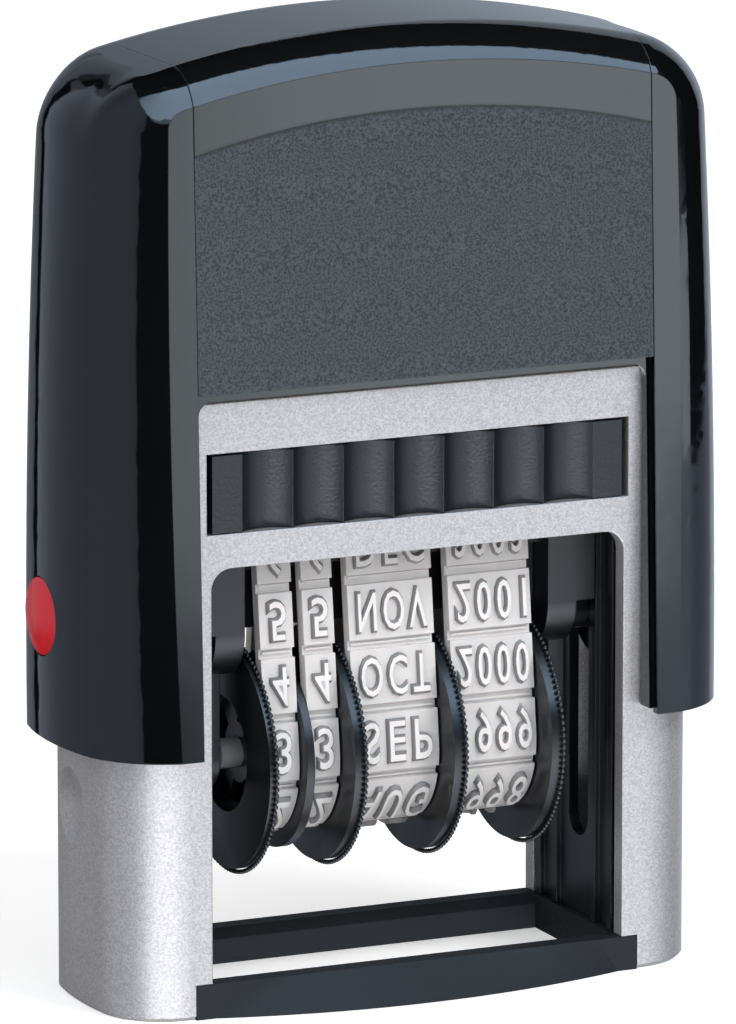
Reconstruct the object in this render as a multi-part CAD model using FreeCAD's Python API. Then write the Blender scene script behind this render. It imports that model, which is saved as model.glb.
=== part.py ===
import FreeCAD, Part
import math
import os
from FreeCAD import Placement, Rotation, Vector

# A self-inking date stamp that flips over when its cap is pressed.
# X runs to the right along the front, Y to the rear, Z up from the paper.

# Shared values
# every cut passes its far face by this much
overrun = 1.0
# play between pieces that are fixed to each other
seat_gap = 0.05
# play round pieces that turn on a shaft
running_gap = 0.05

# The stroke and the print: the cap's travel lowers the pivot by as much
cap_stroke = 20.0
# from the pivot to the face of the character blocks
print_reach = 12.15
character_height = 0.4
paper_gap = 0.3
pad_gap = 0.3
pivot_height = cap_stroke + print_reach + character_height + paper_gap
print_face = pivot_height + print_reach

# Pad cassette and its ink pad
cassette_side_play = 0.6
cassette_setback = 0.1
cassette_play_below = 0.1
cassette_play_above = 0.25
cassette_side = 1.2
cassette_end = 1.9
cassette_roof = 2.2
flute_count = 7
flute_margin = 3.0
flute_depth = 1.1
pad_side_play = 0.3
pad_recess = 0.2
pad_slot_height = 7.55
pad_slot_bottom = (
    print_face + character_height + pad_gap - pad_recess - cassette_play_below
)
pad_slot_top = pad_slot_bottom + pad_slot_height

# Frame: the grey shell that stands on the paper
window_half_width = 20.91
window_sill = 3.17
window_corner_radius = 2.0
frame_side_width = 9.07
frame_half_depth = 10.4
frame_crown = 5.05
frame_side_radius = 36.0
frame_corner_radius = 6.7
frame_wall = 1.65
frame_floor = 1.65
frame_edge_bevel = 0.4
window_top = pad_slot_bottom - window_sill
frame_half_width = window_half_width + frame_side_width
frame_height = pad_slot_top + frame_crown

# Guide plates: the black inner walls with the slots for the pivot pins
guide_setback = 0.49
guide_thickness = 1.0
guide_rib_height = 0.5
guide_rib_width = 0.9
guide_rib_drop = 1.5
guide_rib_shares = (-0.87, -0.47, 0.47, 0.87)
guide_inner = window_half_width + guide_setback
guide_outer = guide_inner + guide_thickness
pad_slot_half_width = guide_inner - running_gap
cassette_half_width = pad_slot_half_width - cassette_side_play
cassette_half_depth = frame_half_depth - cassette_setback

# Foot frame: the black ring round the stamping aperture
foot_margin = 1.6
foot_proud = 0.02
foot_height = 3.26
foot_bow = 3.09
foot_facet_low = 1.9
foot_facet_high = 4.3
aperture_setback = 0.3
foot_bar_width = 2.77
aperture_bevel = 0.9
foot_peg_half_depth = 2.6
foot_peg_rise = 4.2
foot_peg_thickness = 1.5
foot_half_length = window_half_width + foot_margin
foot_half_depth = frame_half_depth + foot_proud
aperture_half_length = window_half_width - aperture_setback
aperture_half_depth = foot_half_depth - foot_bar_width

# Yoke: the bridge in the cap that carries the pivot pins
yoke_guide_play = 0.4
yoke_leg_thickness = 2.5
yoke_half_depth = 4.5
yoke_clearance = 4.1
yoke_bar_thickness = 2.5
yoke_play = 0.2
spigot_radius = 3.2
spigot_length = 3.0
yoke_leg_inner = guide_outer + yoke_guide_play
yoke_leg_outer = yoke_leg_inner + yoke_leg_thickness
yoke_bar_bottom = frame_height + cap_stroke + yoke_clearance
yoke_bar_top = yoke_bar_bottom + yoke_bar_thickness

# Cap: the glossy black shell that the hand presses
cap_clearance_below = 5.12
cap_wall = 1.2
cap_crown = 3.0
hidden_chords = 3
cap_side_play = 1.52
cap_depth_play = 0.3
cap_middle_share = 0.53
cap_middle_draw = 0.35
cap_top_draw = 1.8
# how far the front leans in for each unit of height
cap_lean_share = 0.035
cap_side_radius = 31.0
cap_corner_radius_low = 9.1
cap_corner_radius_high = 7.2
cap_arch_radius = 105.0
cap_edge_radius = 4.7
cap_shoulder_radius = 8.0
cap_shoulder_slope = 3.5
cap_field_cut = 0.25
cap_opening_margin = 2.09
rib_thickness = 1.2
rib_height = 3.25
rib_half_depth = 8.0
rib_place_shares = (-0.65, 0, 0.65)
cap_bottom = cap_stroke + cap_clearance_below
cap_top = yoke_bar_top + rib_height + cap_crown
cap_middle = cap_bottom + cap_middle_share * (cap_top - cap_bottom)
cap_half_width_low = frame_half_width + cap_side_play + cap_wall
cap_half_width_middle = cap_half_width_low - cap_middle_draw
cap_half_width_high = cap_half_width_low - cap_top_draw
cap_corner_radius_middle = (cap_corner_radius_low + cap_corner_radius_high) / 2
# the leaning walls still clear the top of the frame when the cap is right down
cap_rise_of_frame = frame_height + cap_stroke - cap_bottom
cap_half_depth_low = (
    frame_half_depth + cap_depth_play + cap_wall + cap_lean_share * cap_rise_of_frame
)
cap_opening_half_width = window_half_width + cap_opening_margin

# Lip: the rim round the frame in the cap's front and rear openings
lip_shown = 0.4
lip_shown_above = 0.8
lip_width = 1.8
lip_setback = 0.4
lip_play = 0.2
lip_corner_radius = 1.3
lip_half_width = cap_opening_half_width - lip_shown
lip_top = frame_height

# Label cover: the saddle over the front, top and rear of the cap
cover_thickness = 0.9
cover_back_bevel = 2.1
cover_bottom = lip_top + lip_shown_above

# Return spring: one coil between the frame and the yoke
spring_radius = 4.4
spring_wire = 0.7
spring_turns = 6
spring_facets = 8
spring_cup_play = 0.35
spring_cup_wall = 0.9
spring_cup_floor = 1.2
spring_cup_clearance = 1.2
spring_cup_bottom = pad_slot_top + spring_cup_clearance
spring_seat = spring_cup_bottom + spring_cup_floor

# Lock buttons: the red catches in the sides of the cap, and the hollows they drop into
button_rise = 11.4
button_depth_place = 2.0
button_radius = 3.6
button_play = 0.1
button_proud = 0.5
button_dome_radius = 14.0
button_flange = 0.8
button_flange_thickness = 0.6
button_height = cap_bottom + button_rise
lock_travel = 18.0
catch_radius = 3.7
catch_depth = 0.7
catch_height = button_height - lock_travel

# Carriage: the frame that flips over, with its pivot
pin_radius = 2.0
pin_play = 0.1
pin_root_wall = 1.15
block_side_play = 0.6
block_width = 4.85
block_step_depth = 1.9
block_half_depth = 5.6
block_rise = 11.55
block_drop = 2.6
block_step_rise = 1.95
block_top_radius = 3.0
block_bottom_radius = 4.4
arm_thickness = 1.6
arm_half_depth = 2.9
block_outer = guide_inner - guide_rib_height - block_side_play
block_inner = block_outer - block_width
block_neck = block_outer - block_step_depth
block_top = pivot_height + block_rise
block_bottom = pivot_height - block_drop
block_step = pivot_height + block_step_rise
arm_inner = block_neck - arm_thickness
pin_root = block_inner + pin_root_wall

# Axle of the wheels
axle_drop = 10.55
axle_radius = 1.4
axle_end_radius = 0.8
axle_shoulder_gap = 0.9
axle_overhang = 0.8
axle_height = pivot_height - axle_drop
axle_shoulder = arm_inner - axle_shoulder_gap
axle_end = block_neck + axle_overhang

# Bands: rubber loops with a raised block for each character
belt_inner_radius = 6.45
belt_thickness = 0.7
block_height = 0.55
block_count = 12
block_gap = 0.9
band_side_play = 0.1

# Platen: the head that the bands bend over, and its web
platen_corner_radius = 1.65
platen_half_flat = 2.6
platen_head_depth = 1.6
platen_web_half_depth = 2.5
platen_web_drop = 7.5
platen_corner_height = (
    print_face - block_height - belt_thickness - platen_corner_radius
)

# Wheels: serrated rims, each with the drum that drives its band
rim_rise = 3.65
rim_play = 0.15
wheel_teeth = 60
tooth_height = 0.45
# the places along one pitch where a tooth starts to rise, reaches its tip, leaves it and is down
tooth_shares = (0.0, 0.17, 0.5, 0.67)
drum_wall = 0.95
hub_wall = 1.0
web_thickness = 1.0
web_setback = 0.6
crescent_margin = 0.5
crescent_count = 3
crescent_sweep = 78.0
wheel_radius = belt_inner_radius + belt_thickness + block_height + rim_rise
hub_radius = axle_radius + hub_wall

# The rims' widths, and the places of the others' left faces as shares of the room for them
rim_width_1 = 0.9
rim_width_2 = 1.3
rim_width_3 = 1.4
rim_width_4 = 1.4
rim_2_share = -0.434
rim_3_share = 0.22
rim_4_share = 0.867
wheel_1_left = rim_play - block_inner
wheel_1_right = wheel_1_left + rim_width_1
wheel_2_left = rim_2_share * block_inner
wheel_2_right = wheel_2_left + rim_width_2
wheel_3_left = rim_3_share * block_inner
wheel_3_right = wheel_3_left + rim_width_3
wheel_4_left = rim_4_share * block_inner
wheel_4_right = wheel_4_left + rim_width_4

# Divider: the plain disc between the two bands of the day
divider_radius = 9.2
divider_thickness = 0.8
divider_share = -0.699
divider_left = divider_share * block_inner
divider_right = divider_left + divider_thickness

# Each wheel's name, the two faces of its rim, and the two edges of its band
wheels = (
    ("day_tens", wheel_1_left, wheel_1_right, wheel_1_right, divider_left),
    ("day_units", wheel_2_left, wheel_2_right, divider_right, wheel_2_left),
    ("month", wheel_3_left, wheel_3_right, wheel_2_right, wheel_3_left),
    ("year", wheel_4_left, wheel_4_right, wheel_3_right, wheel_4_left),
)

origin = Vector(0, 0, 0)
along_x = Vector(1, 0, 0)
along_y = Vector(0, 1, 0)
along_z = Vector(0, 0, 1)


def box(x0, x1, y0, y1, z0, z1):
    return Part.makeBox(x1 - x0, y1 - y0, z1 - z0, Vector(x0, y0, z0))


def rod(radius, x0, x1, y, z):
    # a cylinder along X
    return Part.makeCylinder(radius, x1 - x0, Vector(x0, y, z), along_x)


def other_side(shape):
    # the same piece on the other side of the object, left for right
    return shape.mirror(origin, along_x)


def front_and_rear(shape):
    return shape.fuse(shape.mirror(origin, along_y))


def both_sides(shape):
    return shape.fuse(other_side(shape))


def edges_along(shape, direction, test):
    # the straight edges that run along a direction and whose middle passes the test
    found = []
    for edge in shape.Edges:
        ends = [v.Point for v in edge.Vertexes]
        if len(ends) == 2 and (ends[1] - ends[0]).cross(direction).Length < seat_gap:
            if test((ends[0] + ends[1]) * 0.5):
                found.append(edge)
    return found


def arched_slab(half_width, y0, y1, z0, z1, radius):
    # a slab through the front wall with rounded upper corners
    slab = box(-half_width, half_width, y0, y1, z0, z1)
    corners = edges_along(slab, along_y, lambda p: p.z > z1 - seat_gap)
    return slab.makeFillet(radius, corners)


def yz_prism(points, x0, x1):
    wire = Part.makePolygon([Vector(x0, y, z) for y, z in points + points[:1]])
    return Part.Face(wire).extrude(Vector(x1 - x0, 0, 0))


def plan_corner(half_width, half_depth, side_radius, corner_radius):
    # a corner arc's centre, and the angle at which it meets the bowed side
    corner_y = half_depth - corner_radius
    reach = side_radius - corner_radius
    corner_x = half_width - side_radius + math.sqrt(reach ** 2 - corner_y ** 2)
    return corner_x, corner_y, math.asin(corner_y / reach)


def plan_wire(half_width, half_depth, side_radius, corner_radius, z):
    # flat front and rear, bowed sides, and corner arcs tangent to both
    corner_x, corner_y, turn = plan_corner(half_width, half_depth, side_radius, corner_radius)
    side_x = half_width - side_radius + side_radius * math.cos(turn)
    side_y = side_radius * math.sin(turn)
    middle = (turn + math.pi / 2) / 2
    middle_x = corner_x + corner_radius * math.cos(middle)
    middle_y = corner_y + corner_radius * math.sin(middle)

    def at(x, y):
        return Vector(x, y, z)

    edges = [
        Part.LineSegment(at(-corner_x, -half_depth), at(corner_x, -half_depth)),
        Part.Arc(at(corner_x, -half_depth), at(middle_x, -middle_y), at(side_x, -side_y)),
        Part.Arc(at(side_x, -side_y), at(half_width, 0), at(side_x, side_y)),
        Part.Arc(at(side_x, side_y), at(middle_x, middle_y), at(corner_x, half_depth)),
        Part.LineSegment(at(corner_x, half_depth), at(-corner_x, half_depth)),
        Part.Arc(at(-corner_x, half_depth), at(-middle_x, middle_y), at(-side_x, side_y)),
        Part.Arc(at(-side_x, side_y), at(-half_width, 0), at(-side_x, -side_y)),
        Part.Arc(at(-side_x, -side_y), at(-middle_x, -middle_y), at(-corner_x, -half_depth)),
    ]
    return Part.Wire([edge.toShape() for edge in edges])


def faceted_wire(half_width, half_depth, side_radius, corner_radius, z):
    # the same plan in chords, for the faces that stay hidden
    corner_x, corner_y, turn = plan_corner(half_width, half_depth, side_radius, corner_radius)
    corner = []
    for step in range(hidden_chords + 1):
        angle = turn + (math.pi / 2 - turn) * step / hidden_chords
        x = corner_x + corner_radius * math.cos(angle)
        y = corner_y + corner_radius * math.sin(angle)
        corner.append((x, y))
    side = [(half_width, 0)] + corner + [(-x, y) for x, y in reversed(corner)]
    points = [Vector(x, y, z) for x, y in side]
    points += [Vector(-x, -y, z) for x, y in side]
    return Part.makePolygon(points + points[:1])


def frame_form(inset, z0, z1):
    wire = plan_wire(
        frame_half_width - inset,
        frame_half_depth - inset,
        frame_side_radius - inset,
        frame_corner_radius - inset,
        z0,
    )
    return Part.Face(wire).extrude(Vector(0, 0, z1 - z0))


def make_base_frame():
    shell = frame_form(0, 0, frame_height)
    rims = [e for e in shell.Edges if abs(e.BoundBox.ZMax - e.BoundBox.ZMin) < seat_gap]
    shell = shell.makeChamfer(frame_edge_bevel, rims)
    shell = shell.cut(frame_form(frame_wall, frame_floor, frame_height - frame_wall))
    past = frame_half_depth + overrun
    notch = foot_half_length + seat_gap
    window = arched_slab(
        window_half_width, -past, past, -overrun, window_top, window_corner_radius
    )
    slot = box(
        -pad_slot_half_width, pad_slot_half_width, -past, past, pad_slot_bottom, pad_slot_top
    )
    opening = box(-notch, notch, -past, past, -overrun, foot_height + seat_gap)
    cup_radius = spring_radius + spring_wire / 2 + spring_cup_play
    cup_height = frame_height - spring_cup_bottom
    cup_place = Vector(0, 0, spring_cup_bottom)
    cup = Part.makeCylinder(cup_radius + spring_cup_wall, cup_height - seat_gap, cup_place)
    well_place = Vector(0, 0, spring_seat)
    well = Part.makeCylinder(cup_radius, cup_height, well_place)
    leg_slot = box(
        yoke_leg_inner - yoke_play,
        yoke_leg_outer + yoke_play,
        -yoke_half_depth - yoke_play,
        yoke_half_depth + yoke_play,
        frame_height - frame_wall - overrun,
        frame_height + overrun,
    )
    shell = shell.cut(window.fuse(slot)).cut(opening)
    shell = shell.fuse(cup).cut(well).cut(both_sides(leg_slot))
    return shell.cut(both_sides(catch_hollow()))


def catch_hollow():
    # the shallow round in the frame's side that the lock button drops into
    reach = (catch_radius ** 2 + catch_depth ** 2) / (2 * catch_depth)
    place = Vector(frame_half_width + reach - catch_depth, button_depth_place, catch_height)
    return Part.makeSphere(reach, place)


def make_foot_frame():
    def outline(z, facet, bow):
        flat = foot_half_length - facet
        rows = []
        for side in (-1, 1):
            y = side * foot_half_depth
            a = Vector(side * foot_half_length, y, z)
            b = Vector(side * flat, y, z)
            c = Vector(-side * flat, y, z)
            d = Vector(-side * foot_half_length, y, z)
            rows.append(Part.LineSegment(a, b).toShape())
            if bow:
                rows.append(Part.Arc(b, Vector(0, y + side * bow, z), c).toShape())
            else:
                rows.append(Part.LineSegment(b, c).toShape())
            rows.append(Part.LineSegment(c, d).toShape())
            rows.append(Part.LineSegment(d, Vector(d.x, -y, z)).toShape())
        return Part.Wire(rows)

    low = outline(0, foot_facet_low, foot_bow)
    high = outline(foot_height, foot_facet_high, 0)
    body = Part.makeLoft([low, high], True, True)
    hole = box(
        -aperture_half_length,
        aperture_half_length,
        -aperture_half_depth,
        aperture_half_depth,
        -overrun,
        foot_height + overrun,
    )
    flare = yz_prism(
        [
            (aperture_half_depth - overrun, foot_height - aperture_bevel),
            (aperture_half_depth, foot_height - aperture_bevel),
            (aperture_half_depth + aperture_bevel + overrun, foot_height + overrun),
            (aperture_half_depth - overrun, foot_height + overrun),
        ],
        -aperture_half_length,
        aperture_half_length,
    )
    peg_inner = guide_outer + seat_gap
    peg_outer = peg_inner + foot_peg_thickness
    peg = box(
        peg_inner,
        peg_outer,
        -foot_peg_half_depth,
        foot_peg_half_depth,
        frame_floor + seat_gap,
        foot_height + foot_peg_rise,
    )
    web = box(
        aperture_half_length,
        peg_outer,
        -foot_peg_half_depth,
        foot_peg_half_depth,
        frame_floor + seat_gap,
        foot_height,
    )
    body = body.cut(hole).cut(front_and_rear(flare))
    return body.fuse(both_sides(peg.fuse(web))).removeSplitter()


def make_guide_plate():
    inner_depth = frame_half_depth - frame_wall
    plate = box(
        guide_inner,
        guide_outer,
        -inner_depth,
        inner_depth,
        foot_height + seat_gap,
        frame_height - frame_wall,
    )
    for share in guide_rib_shares:
        place = share * inner_depth
        rib = box(
            guide_inner - guide_rib_height,
            guide_inner + seat_gap,
            place - guide_rib_width / 2,
            place + guide_rib_width / 2,
            foot_height + seat_gap,
            pad_slot_bottom - guide_rib_drop,
        )
        plate = plate.fuse(rib)
    half = pin_radius + pin_play
    low = pivot_height - cap_stroke
    x0 = guide_inner - overrun
    x1 = guide_outer + overrun
    slot = box(x0, x1, -half, half, low, pivot_height)
    slot = slot.fuse([rod(half, x0, x1, 0, low), rod(half, x0, x1, 0, pivot_height)])
    return plate.cut(slot).removeSplitter()


def cap_half_depth(z):
    return cap_half_depth_low - cap_lean_share * (z - cap_bottom)


def cap_walls(inset, bottom, outline):
    # the cap's upright form, drawn in by an inset: smooth outside, and in chords where hidden
    levels = (
        (bottom, cap_half_width_low, cap_corner_radius_low),
        (cap_middle, cap_half_width_middle, cap_corner_radius_middle),
        (cap_top + overrun, cap_half_width_high, cap_corner_radius_high),
    )
    wires = [
        outline(
            half_width - inset,
            cap_half_depth(z) - inset,
            cap_side_radius - inset,
            corner_radius - inset,
            z,
        )
        for z, half_width, corner_radius in levels
    ]
    return Part.makeLoft(wires, True, outline is faceted_wire)


def xz_prism(edges):
    # an outline in the plane of the front, drawn right through the cap
    face = Part.Face(Part.Wire([edge.toShape() for edge in edges]))
    return face.extrude(Vector(0, 2 * (cap_half_depth_low + overrun), 0))


def arch_prism(inset):
    # everything under the arch of the cap's top
    wide = cap_half_width_low + overrun
    radius = cap_arch_radius - inset
    centre = cap_top - cap_arch_radius
    spring_line = centre + math.sqrt(radius ** 2 - wide ** 2)
    floor = cap_bottom - 2 * overrun

    def at(x, z):
        return Vector(x, -cap_half_depth_low - overrun, z)

    return xz_prism(
        [
            Part.Arc(at(-wide, spring_line), at(0, centre + radius), at(wide, spring_line)),
            Part.LineSegment(at(wide, spring_line), at(wide, floor)),
            Part.LineSegment(at(wide, floor), at(-wide, floor)),
            Part.LineSegment(at(-wide, floor), at(-wide, spring_line)),
        ]
    )


def ceiling_prism():
    # everything under the cap's ceiling, which slopes down below the shoulders
    radius = cap_arch_radius - cap_crown
    centre = cap_top - cap_arch_radius
    flat = cap_half_width_high - cap_wall - cap_shoulder_slope
    edge = centre + math.sqrt(radius ** 2 - flat ** 2)
    wide = cap_half_width_low + overrun
    low = edge - (wide - flat)
    floor = cap_bottom - 2 * overrun

    def at(x, z):
        return Vector(x, -cap_half_depth_low - overrun, z)

    return xz_prism(
        [
            Part.Arc(at(-flat, edge), at(0, centre + radius), at(flat, edge)),
            Part.LineSegment(at(flat, edge), at(wide, low)),
            Part.LineSegment(at(wide, low), at(wide, floor)),
            Part.LineSegment(at(wide, floor), at(-wide, floor)),
            Part.LineSegment(at(-wide, floor), at(-wide, low)),
            Part.LineSegment(at(-wide, low), at(-flat, edge)),
        ]
    )


def round_top(solid):
    # the long edges turn tightly and the shoulders widely, and the corners run from one to the other
    top = max(solid.Faces, key=lambda f: f.CenterOfMass.z)
    rows = []
    for number, edge in enumerate(solid.Edges, 1):
        if not any(edge.isSame(e) for e in top.Edges):
            continue
        first = edge.valueAt(edge.FirstParameter)
        last = edge.valueAt(edge.LastParameter)
        inner = min(abs(first.x), abs(last.x))
        if abs(first.y - last.y) < seat_gap:
            rows.append((number, cap_edge_radius, cap_edge_radius))
        elif abs(first.x - last.x) < seat_gap:
            rows.append((number, cap_shoulder_radius, cap_shoulder_radius))
        elif abs(first.x) == inner:
            rows.append((number, cap_edge_radius, cap_shoulder_radius))
        else:
            rows.append((number, cap_shoulder_radius, cap_edge_radius))
    sheet = FreeCAD.newDocument()
    base = sheet.addObject("Part::Feature", "walls")
    base.Shape = solid
    rounded = sheet.addObject("Part::Fillet", "rounded")
    rounded.Base = base
    rounded.Edges = rows
    sheet.recompute()
    shape = rounded.Shape.copy()
    FreeCAD.closeDocument(sheet.Name)
    return shape.Solids[0]


def field_slope(inset):
    # two points on the leaning plane of the front field, drawn in by an inset
    low_z = cap_bottom - overrun
    high_z = cap_top + overrun
    low = cap_half_depth(low_z) - cap_field_cut - inset
    high = cap_half_depth(high_z) - cap_field_cut - inset
    return low, low_z, high, high_z


def cap_outside():
    # the skin, with the flat fields that the front and rear panels lie in
    body = round_top(cap_walls(0, cap_bottom, plan_wire).common(arch_prism(0)))
    low, low_z, high, high_z = field_slope(0)
    deep = cap_half_depth_low + overrun
    field = yz_prism(
        [(low, low_z), (deep, low_z), (deep, high_z), (high, high_z)],
        -cap_half_width_low,
        cap_half_width_low,
    )
    return body.cut(front_and_rear(field))


def under_cover(inset):
    # the surface that the label cover lies on
    half_width = lip_half_width + lip_width + overrun
    low, low_z, high, high_z = field_slope(inset)
    outline = [(-low, low_z), (low, low_z), (high, high_z), (-high, high_z)]
    solid = yz_prism(outline, -half_width, half_width).common(arch_prism(inset))
    top = max(solid.Faces, key=lambda f: f.CenterOfMass.z)
    long_edges = [e for e in top.Edges if e.BoundBox.XLength > half_width]
    return solid.makeChamfer(cover_back_bevel, long_edges)


def saddle(half_width):
    # the space of the label cover, over the front, top and rear
    deep = cap_half_depth_low + overrun
    return box(-half_width, half_width, -deep, deep, cover_bottom, cap_top + overrun)


def make_cap_shell(outside):
    seat = under_cover(cover_thickness)
    cavity = cap_walls(cap_wall, cap_bottom - overrun, faceted_wire).common(ceiling_prism())
    deep = cap_half_depth_low + overrun
    inner = frame_half_depth + lip_play
    recess = saddle(cap_opening_half_width).cut(seat)
    opening = box(
        -cap_opening_half_width,
        cap_opening_half_width,
        -deep,
        deep,
        cap_bottom - overrun,
        cover_bottom,
    )
    lip = box(
        -lip_half_width - lip_width,
        lip_half_width + lip_width,
        -deep,
        -inner,
        cap_bottom + lip_setback,
        lip_top + lip_width,
    )
    gap = arched_slab(
        lip_half_width, -deep, -inner + overrun, cap_bottom - overrun, lip_top, lip_corner_radius
    )
    lip = lip.common(seat).cut(gap)
    pieces = [lip, lip.mirror(origin, along_y)]
    for share in rib_place_shares:
        place = share * cap_opening_half_width
        rib = box(
            place - rib_thickness / 2,
            place + rib_thickness / 2,
            -rib_half_depth,
            rib_half_depth,
            yoke_bar_top,
            cap_top,
        )
        pieces.append(rib.common(seat))
    hole = rod(
        button_radius + button_play,
        cap_half_width_low / 2,
        cap_half_width_low + overrun,
        button_depth_place,
        button_height,
    )
    shell = outside.cut(cavity).cut(recess).cut(opening).fuse(pieces)
    return shell.cut(both_sides(hole))


def make_label_cover(outside):
    back = under_cover(cover_thickness - seat_gap)
    return outside.common(saddle(cap_opening_half_width - seat_gap)).cut(back)


def make_button():
    # the right button: a domed cap with a flange that follows the inside of the wall
    climb = (button_height - cap_bottom) / (cap_middle - cap_bottom)
    tip = cap_half_width_low - climb * cap_middle_draw + button_proud
    stem = rod(button_radius, frame_half_width, tip, button_depth_place, button_height)
    dome = Part.makeSphere(
        button_dome_radius,
        Vector(tip - button_dome_radius, button_depth_place, button_height),
    )
    face = cap_walls(cap_wall + seat_gap, cap_bottom - overrun, faceted_wire)
    back_inset = cap_wall + seat_gap + button_flange_thickness
    rear = cap_walls(back_inset, cap_bottom - overrun, faceted_wire)
    disc = rod(
        button_radius + button_flange,
        frame_half_width / 2,
        tip,
        button_depth_place,
        button_height,
    )
    flange = disc.common(face)
    return stem.common(dome).fuse(flange).cut(rear).removeSplitter()


def make_yoke():
    outer = yoke_leg_outer
    bar = box(-outer, outer, -yoke_half_depth, yoke_half_depth, yoke_bar_bottom, yoke_bar_top)
    leg = box(
        yoke_leg_inner, outer, -yoke_half_depth, yoke_half_depth, pivot_height, yoke_bar_bottom
    )
    eye = rod(yoke_half_depth, yoke_leg_inner, outer, 0, pivot_height)
    bore = rod(
        pin_radius + running_gap,
        yoke_leg_inner - overrun,
        outer + overrun,
        0,
        pivot_height,
    )
    leg = leg.fuse(eye).cut(bore)
    spigot = Part.makeCylinder(
        spigot_radius, spigot_length, Vector(0, 0, yoke_bar_bottom - spigot_length)
    )
    return bar.fuse([both_sides(leg), spigot]).removeSplitter()


def biarc(start, start_way, end, end_way):
    # two arcs that leave one point and reach another, each along a given direction
    chord = end - start
    both = start_way + end_way
    bend = 2 * (1 - start_way.dot(end_way))
    along = chord.dot(both)
    reach = (math.sqrt(along ** 2 + bend * chord.dot(chord)) - along) / bend
    first_apex = start + start_way * reach
    second_apex = end - end_way * reach
    joint = (first_apex + second_apex) * 0.5
    return [arc_under(start, first_apex, joint), arc_under(joint, second_apex, end)]


def arc_under(start, apex, end):
    # the arc from start to end whose tangents meet at the apex
    middle = (start + end) * 0.5
    half = (end - start).Length / 2
    rise = (apex - middle).Length
    bulge = half * math.tan(math.atan2(rise, half) / 2)
    crown = middle + (apex - middle) * (bulge / rise)
    return Part.Arc(start, crown, end).toShape()


def make_return_spring():
    low = spring_seat + spring_wire / 2
    high = yoke_bar_bottom - spring_wire / 2
    pitch = (high - low) / spring_turns
    climb = pitch / (2 * math.pi)

    def point(turn):
        return Vector(
            spring_radius * math.cos(turn), spring_radius * math.sin(turn), low + climb * turn
        )

    def way(turn):
        step = Vector(-spring_radius * math.sin(turn), spring_radius * math.cos(turn), climb)
        return step.normalize()

    edges = []
    for number in range(2 * spring_turns):
        a = number * math.pi
        b = a + math.pi
        edges += biarc(point(a), way(a), point(b), way(b))
    path = Part.Wire(edges)
    circle = Part.makeCircle(spring_wire / 2, point(0), way(0))
    section = Part.makePolygon(circle.discretize(spring_facets + 1))
    print("return spring: least gap between turns", round(pitch - spring_wire, 2))
    return path.makePipeShell([section], True, False)


def make_carriage_plate():
    # the right end plate: an upper block round the pivot and an arm down to the axle
    block = box(
        block_inner, block_outer, -block_half_depth, block_half_depth, block_bottom, block_top
    )
    upper = edges_along(block, along_x, lambda p: p.z > block_top - seat_gap)
    block = block.makeFillet(block_top_radius, upper)
    lower = edges_along(block, along_x, lambda p: p.z < block_bottom + seat_gap)
    block = block.makeFillet(block_bottom_radius, lower)
    step = box(
        block_neck,
        block_outer + overrun,
        -block_half_depth - overrun,
        block_half_depth + overrun,
        block_bottom - overrun,
        block_step,
    )
    arm = box(arm_inner, block_neck, -arm_half_depth, arm_half_depth, axle_height, pivot_height)
    eye = rod(arm_half_depth, arm_inner, block_neck, 0, axle_height)
    bore = rod(
        axle_end_radius + seat_gap, arm_inner - overrun, block_neck + overrun, 0, axle_height
    )
    plate = block.cut(step).fuse([arm, eye]).cut(bore)
    pin_hole = rod(pin_radius + seat_gap, pin_root, block_outer + overrun, 0, pivot_height)
    return plate.cut(pin_hole).removeSplitter()


def make_pivot_pin():
    return rod(pin_radius, pin_root + seat_gap, yoke_leg_outer, 0, pivot_height)


def make_wheel_axle():
    thick = rod(axle_radius, -axle_shoulder, axle_shoulder, 0, axle_height)
    thin = rod(axle_end_radius, -axle_end, axle_end, 0, axle_height)
    return thick.fuse(thin).removeSplitter()


def band_lean():
    # how far the straight runs of a band lean in towards the platen, in radians
    rise = platen_corner_height - axle_height
    apart = math.hypot(platen_half_flat, rise)
    return math.asin((belt_inner_radius - platen_corner_radius) / apart) - math.atan2(
        platen_half_flat, rise
    )


def band_loop(offset, x0, x1):
    # the solid inside a band's path, taken outwards by an offset
    lean = band_lean()
    drum = belt_inner_radius + offset
    corner = platen_corner_radius + offset
    half = (math.pi / 2 + lean) / 2

    def at(y, z):
        return Vector(x0, y, z)

    low_y = drum * math.cos(lean)
    low_z = axle_height + drum * math.sin(lean)
    high_y = platen_half_flat + corner * math.cos(lean)
    high_z = platen_corner_height + corner * math.sin(lean)
    crown_y = platen_half_flat + corner * math.cos(half)
    crown_z = platen_corner_height + corner * math.sin(half)
    top_z = platen_corner_height + corner
    edges = [
        Part.LineSegment(at(low_y, low_z), at(high_y, high_z)),
        Part.Arc(at(high_y, high_z), at(crown_y, crown_z), at(platen_half_flat, top_z)),
        Part.LineSegment(at(platen_half_flat, top_z), at(-platen_half_flat, top_z)),
        Part.Arc(at(-platen_half_flat, top_z), at(-crown_y, crown_z), at(-high_y, high_z)),
        Part.LineSegment(at(-high_y, high_z), at(-low_y, low_z)),
        Part.Arc(at(-low_y, low_z), at(0, axle_height - drum), at(low_y, low_z)),
    ]
    wire = Part.Wire([edge.toShape() for edge in edges])
    return Part.Face(wire).extrude(Vector(x1 - x0, 0, 0))


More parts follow.
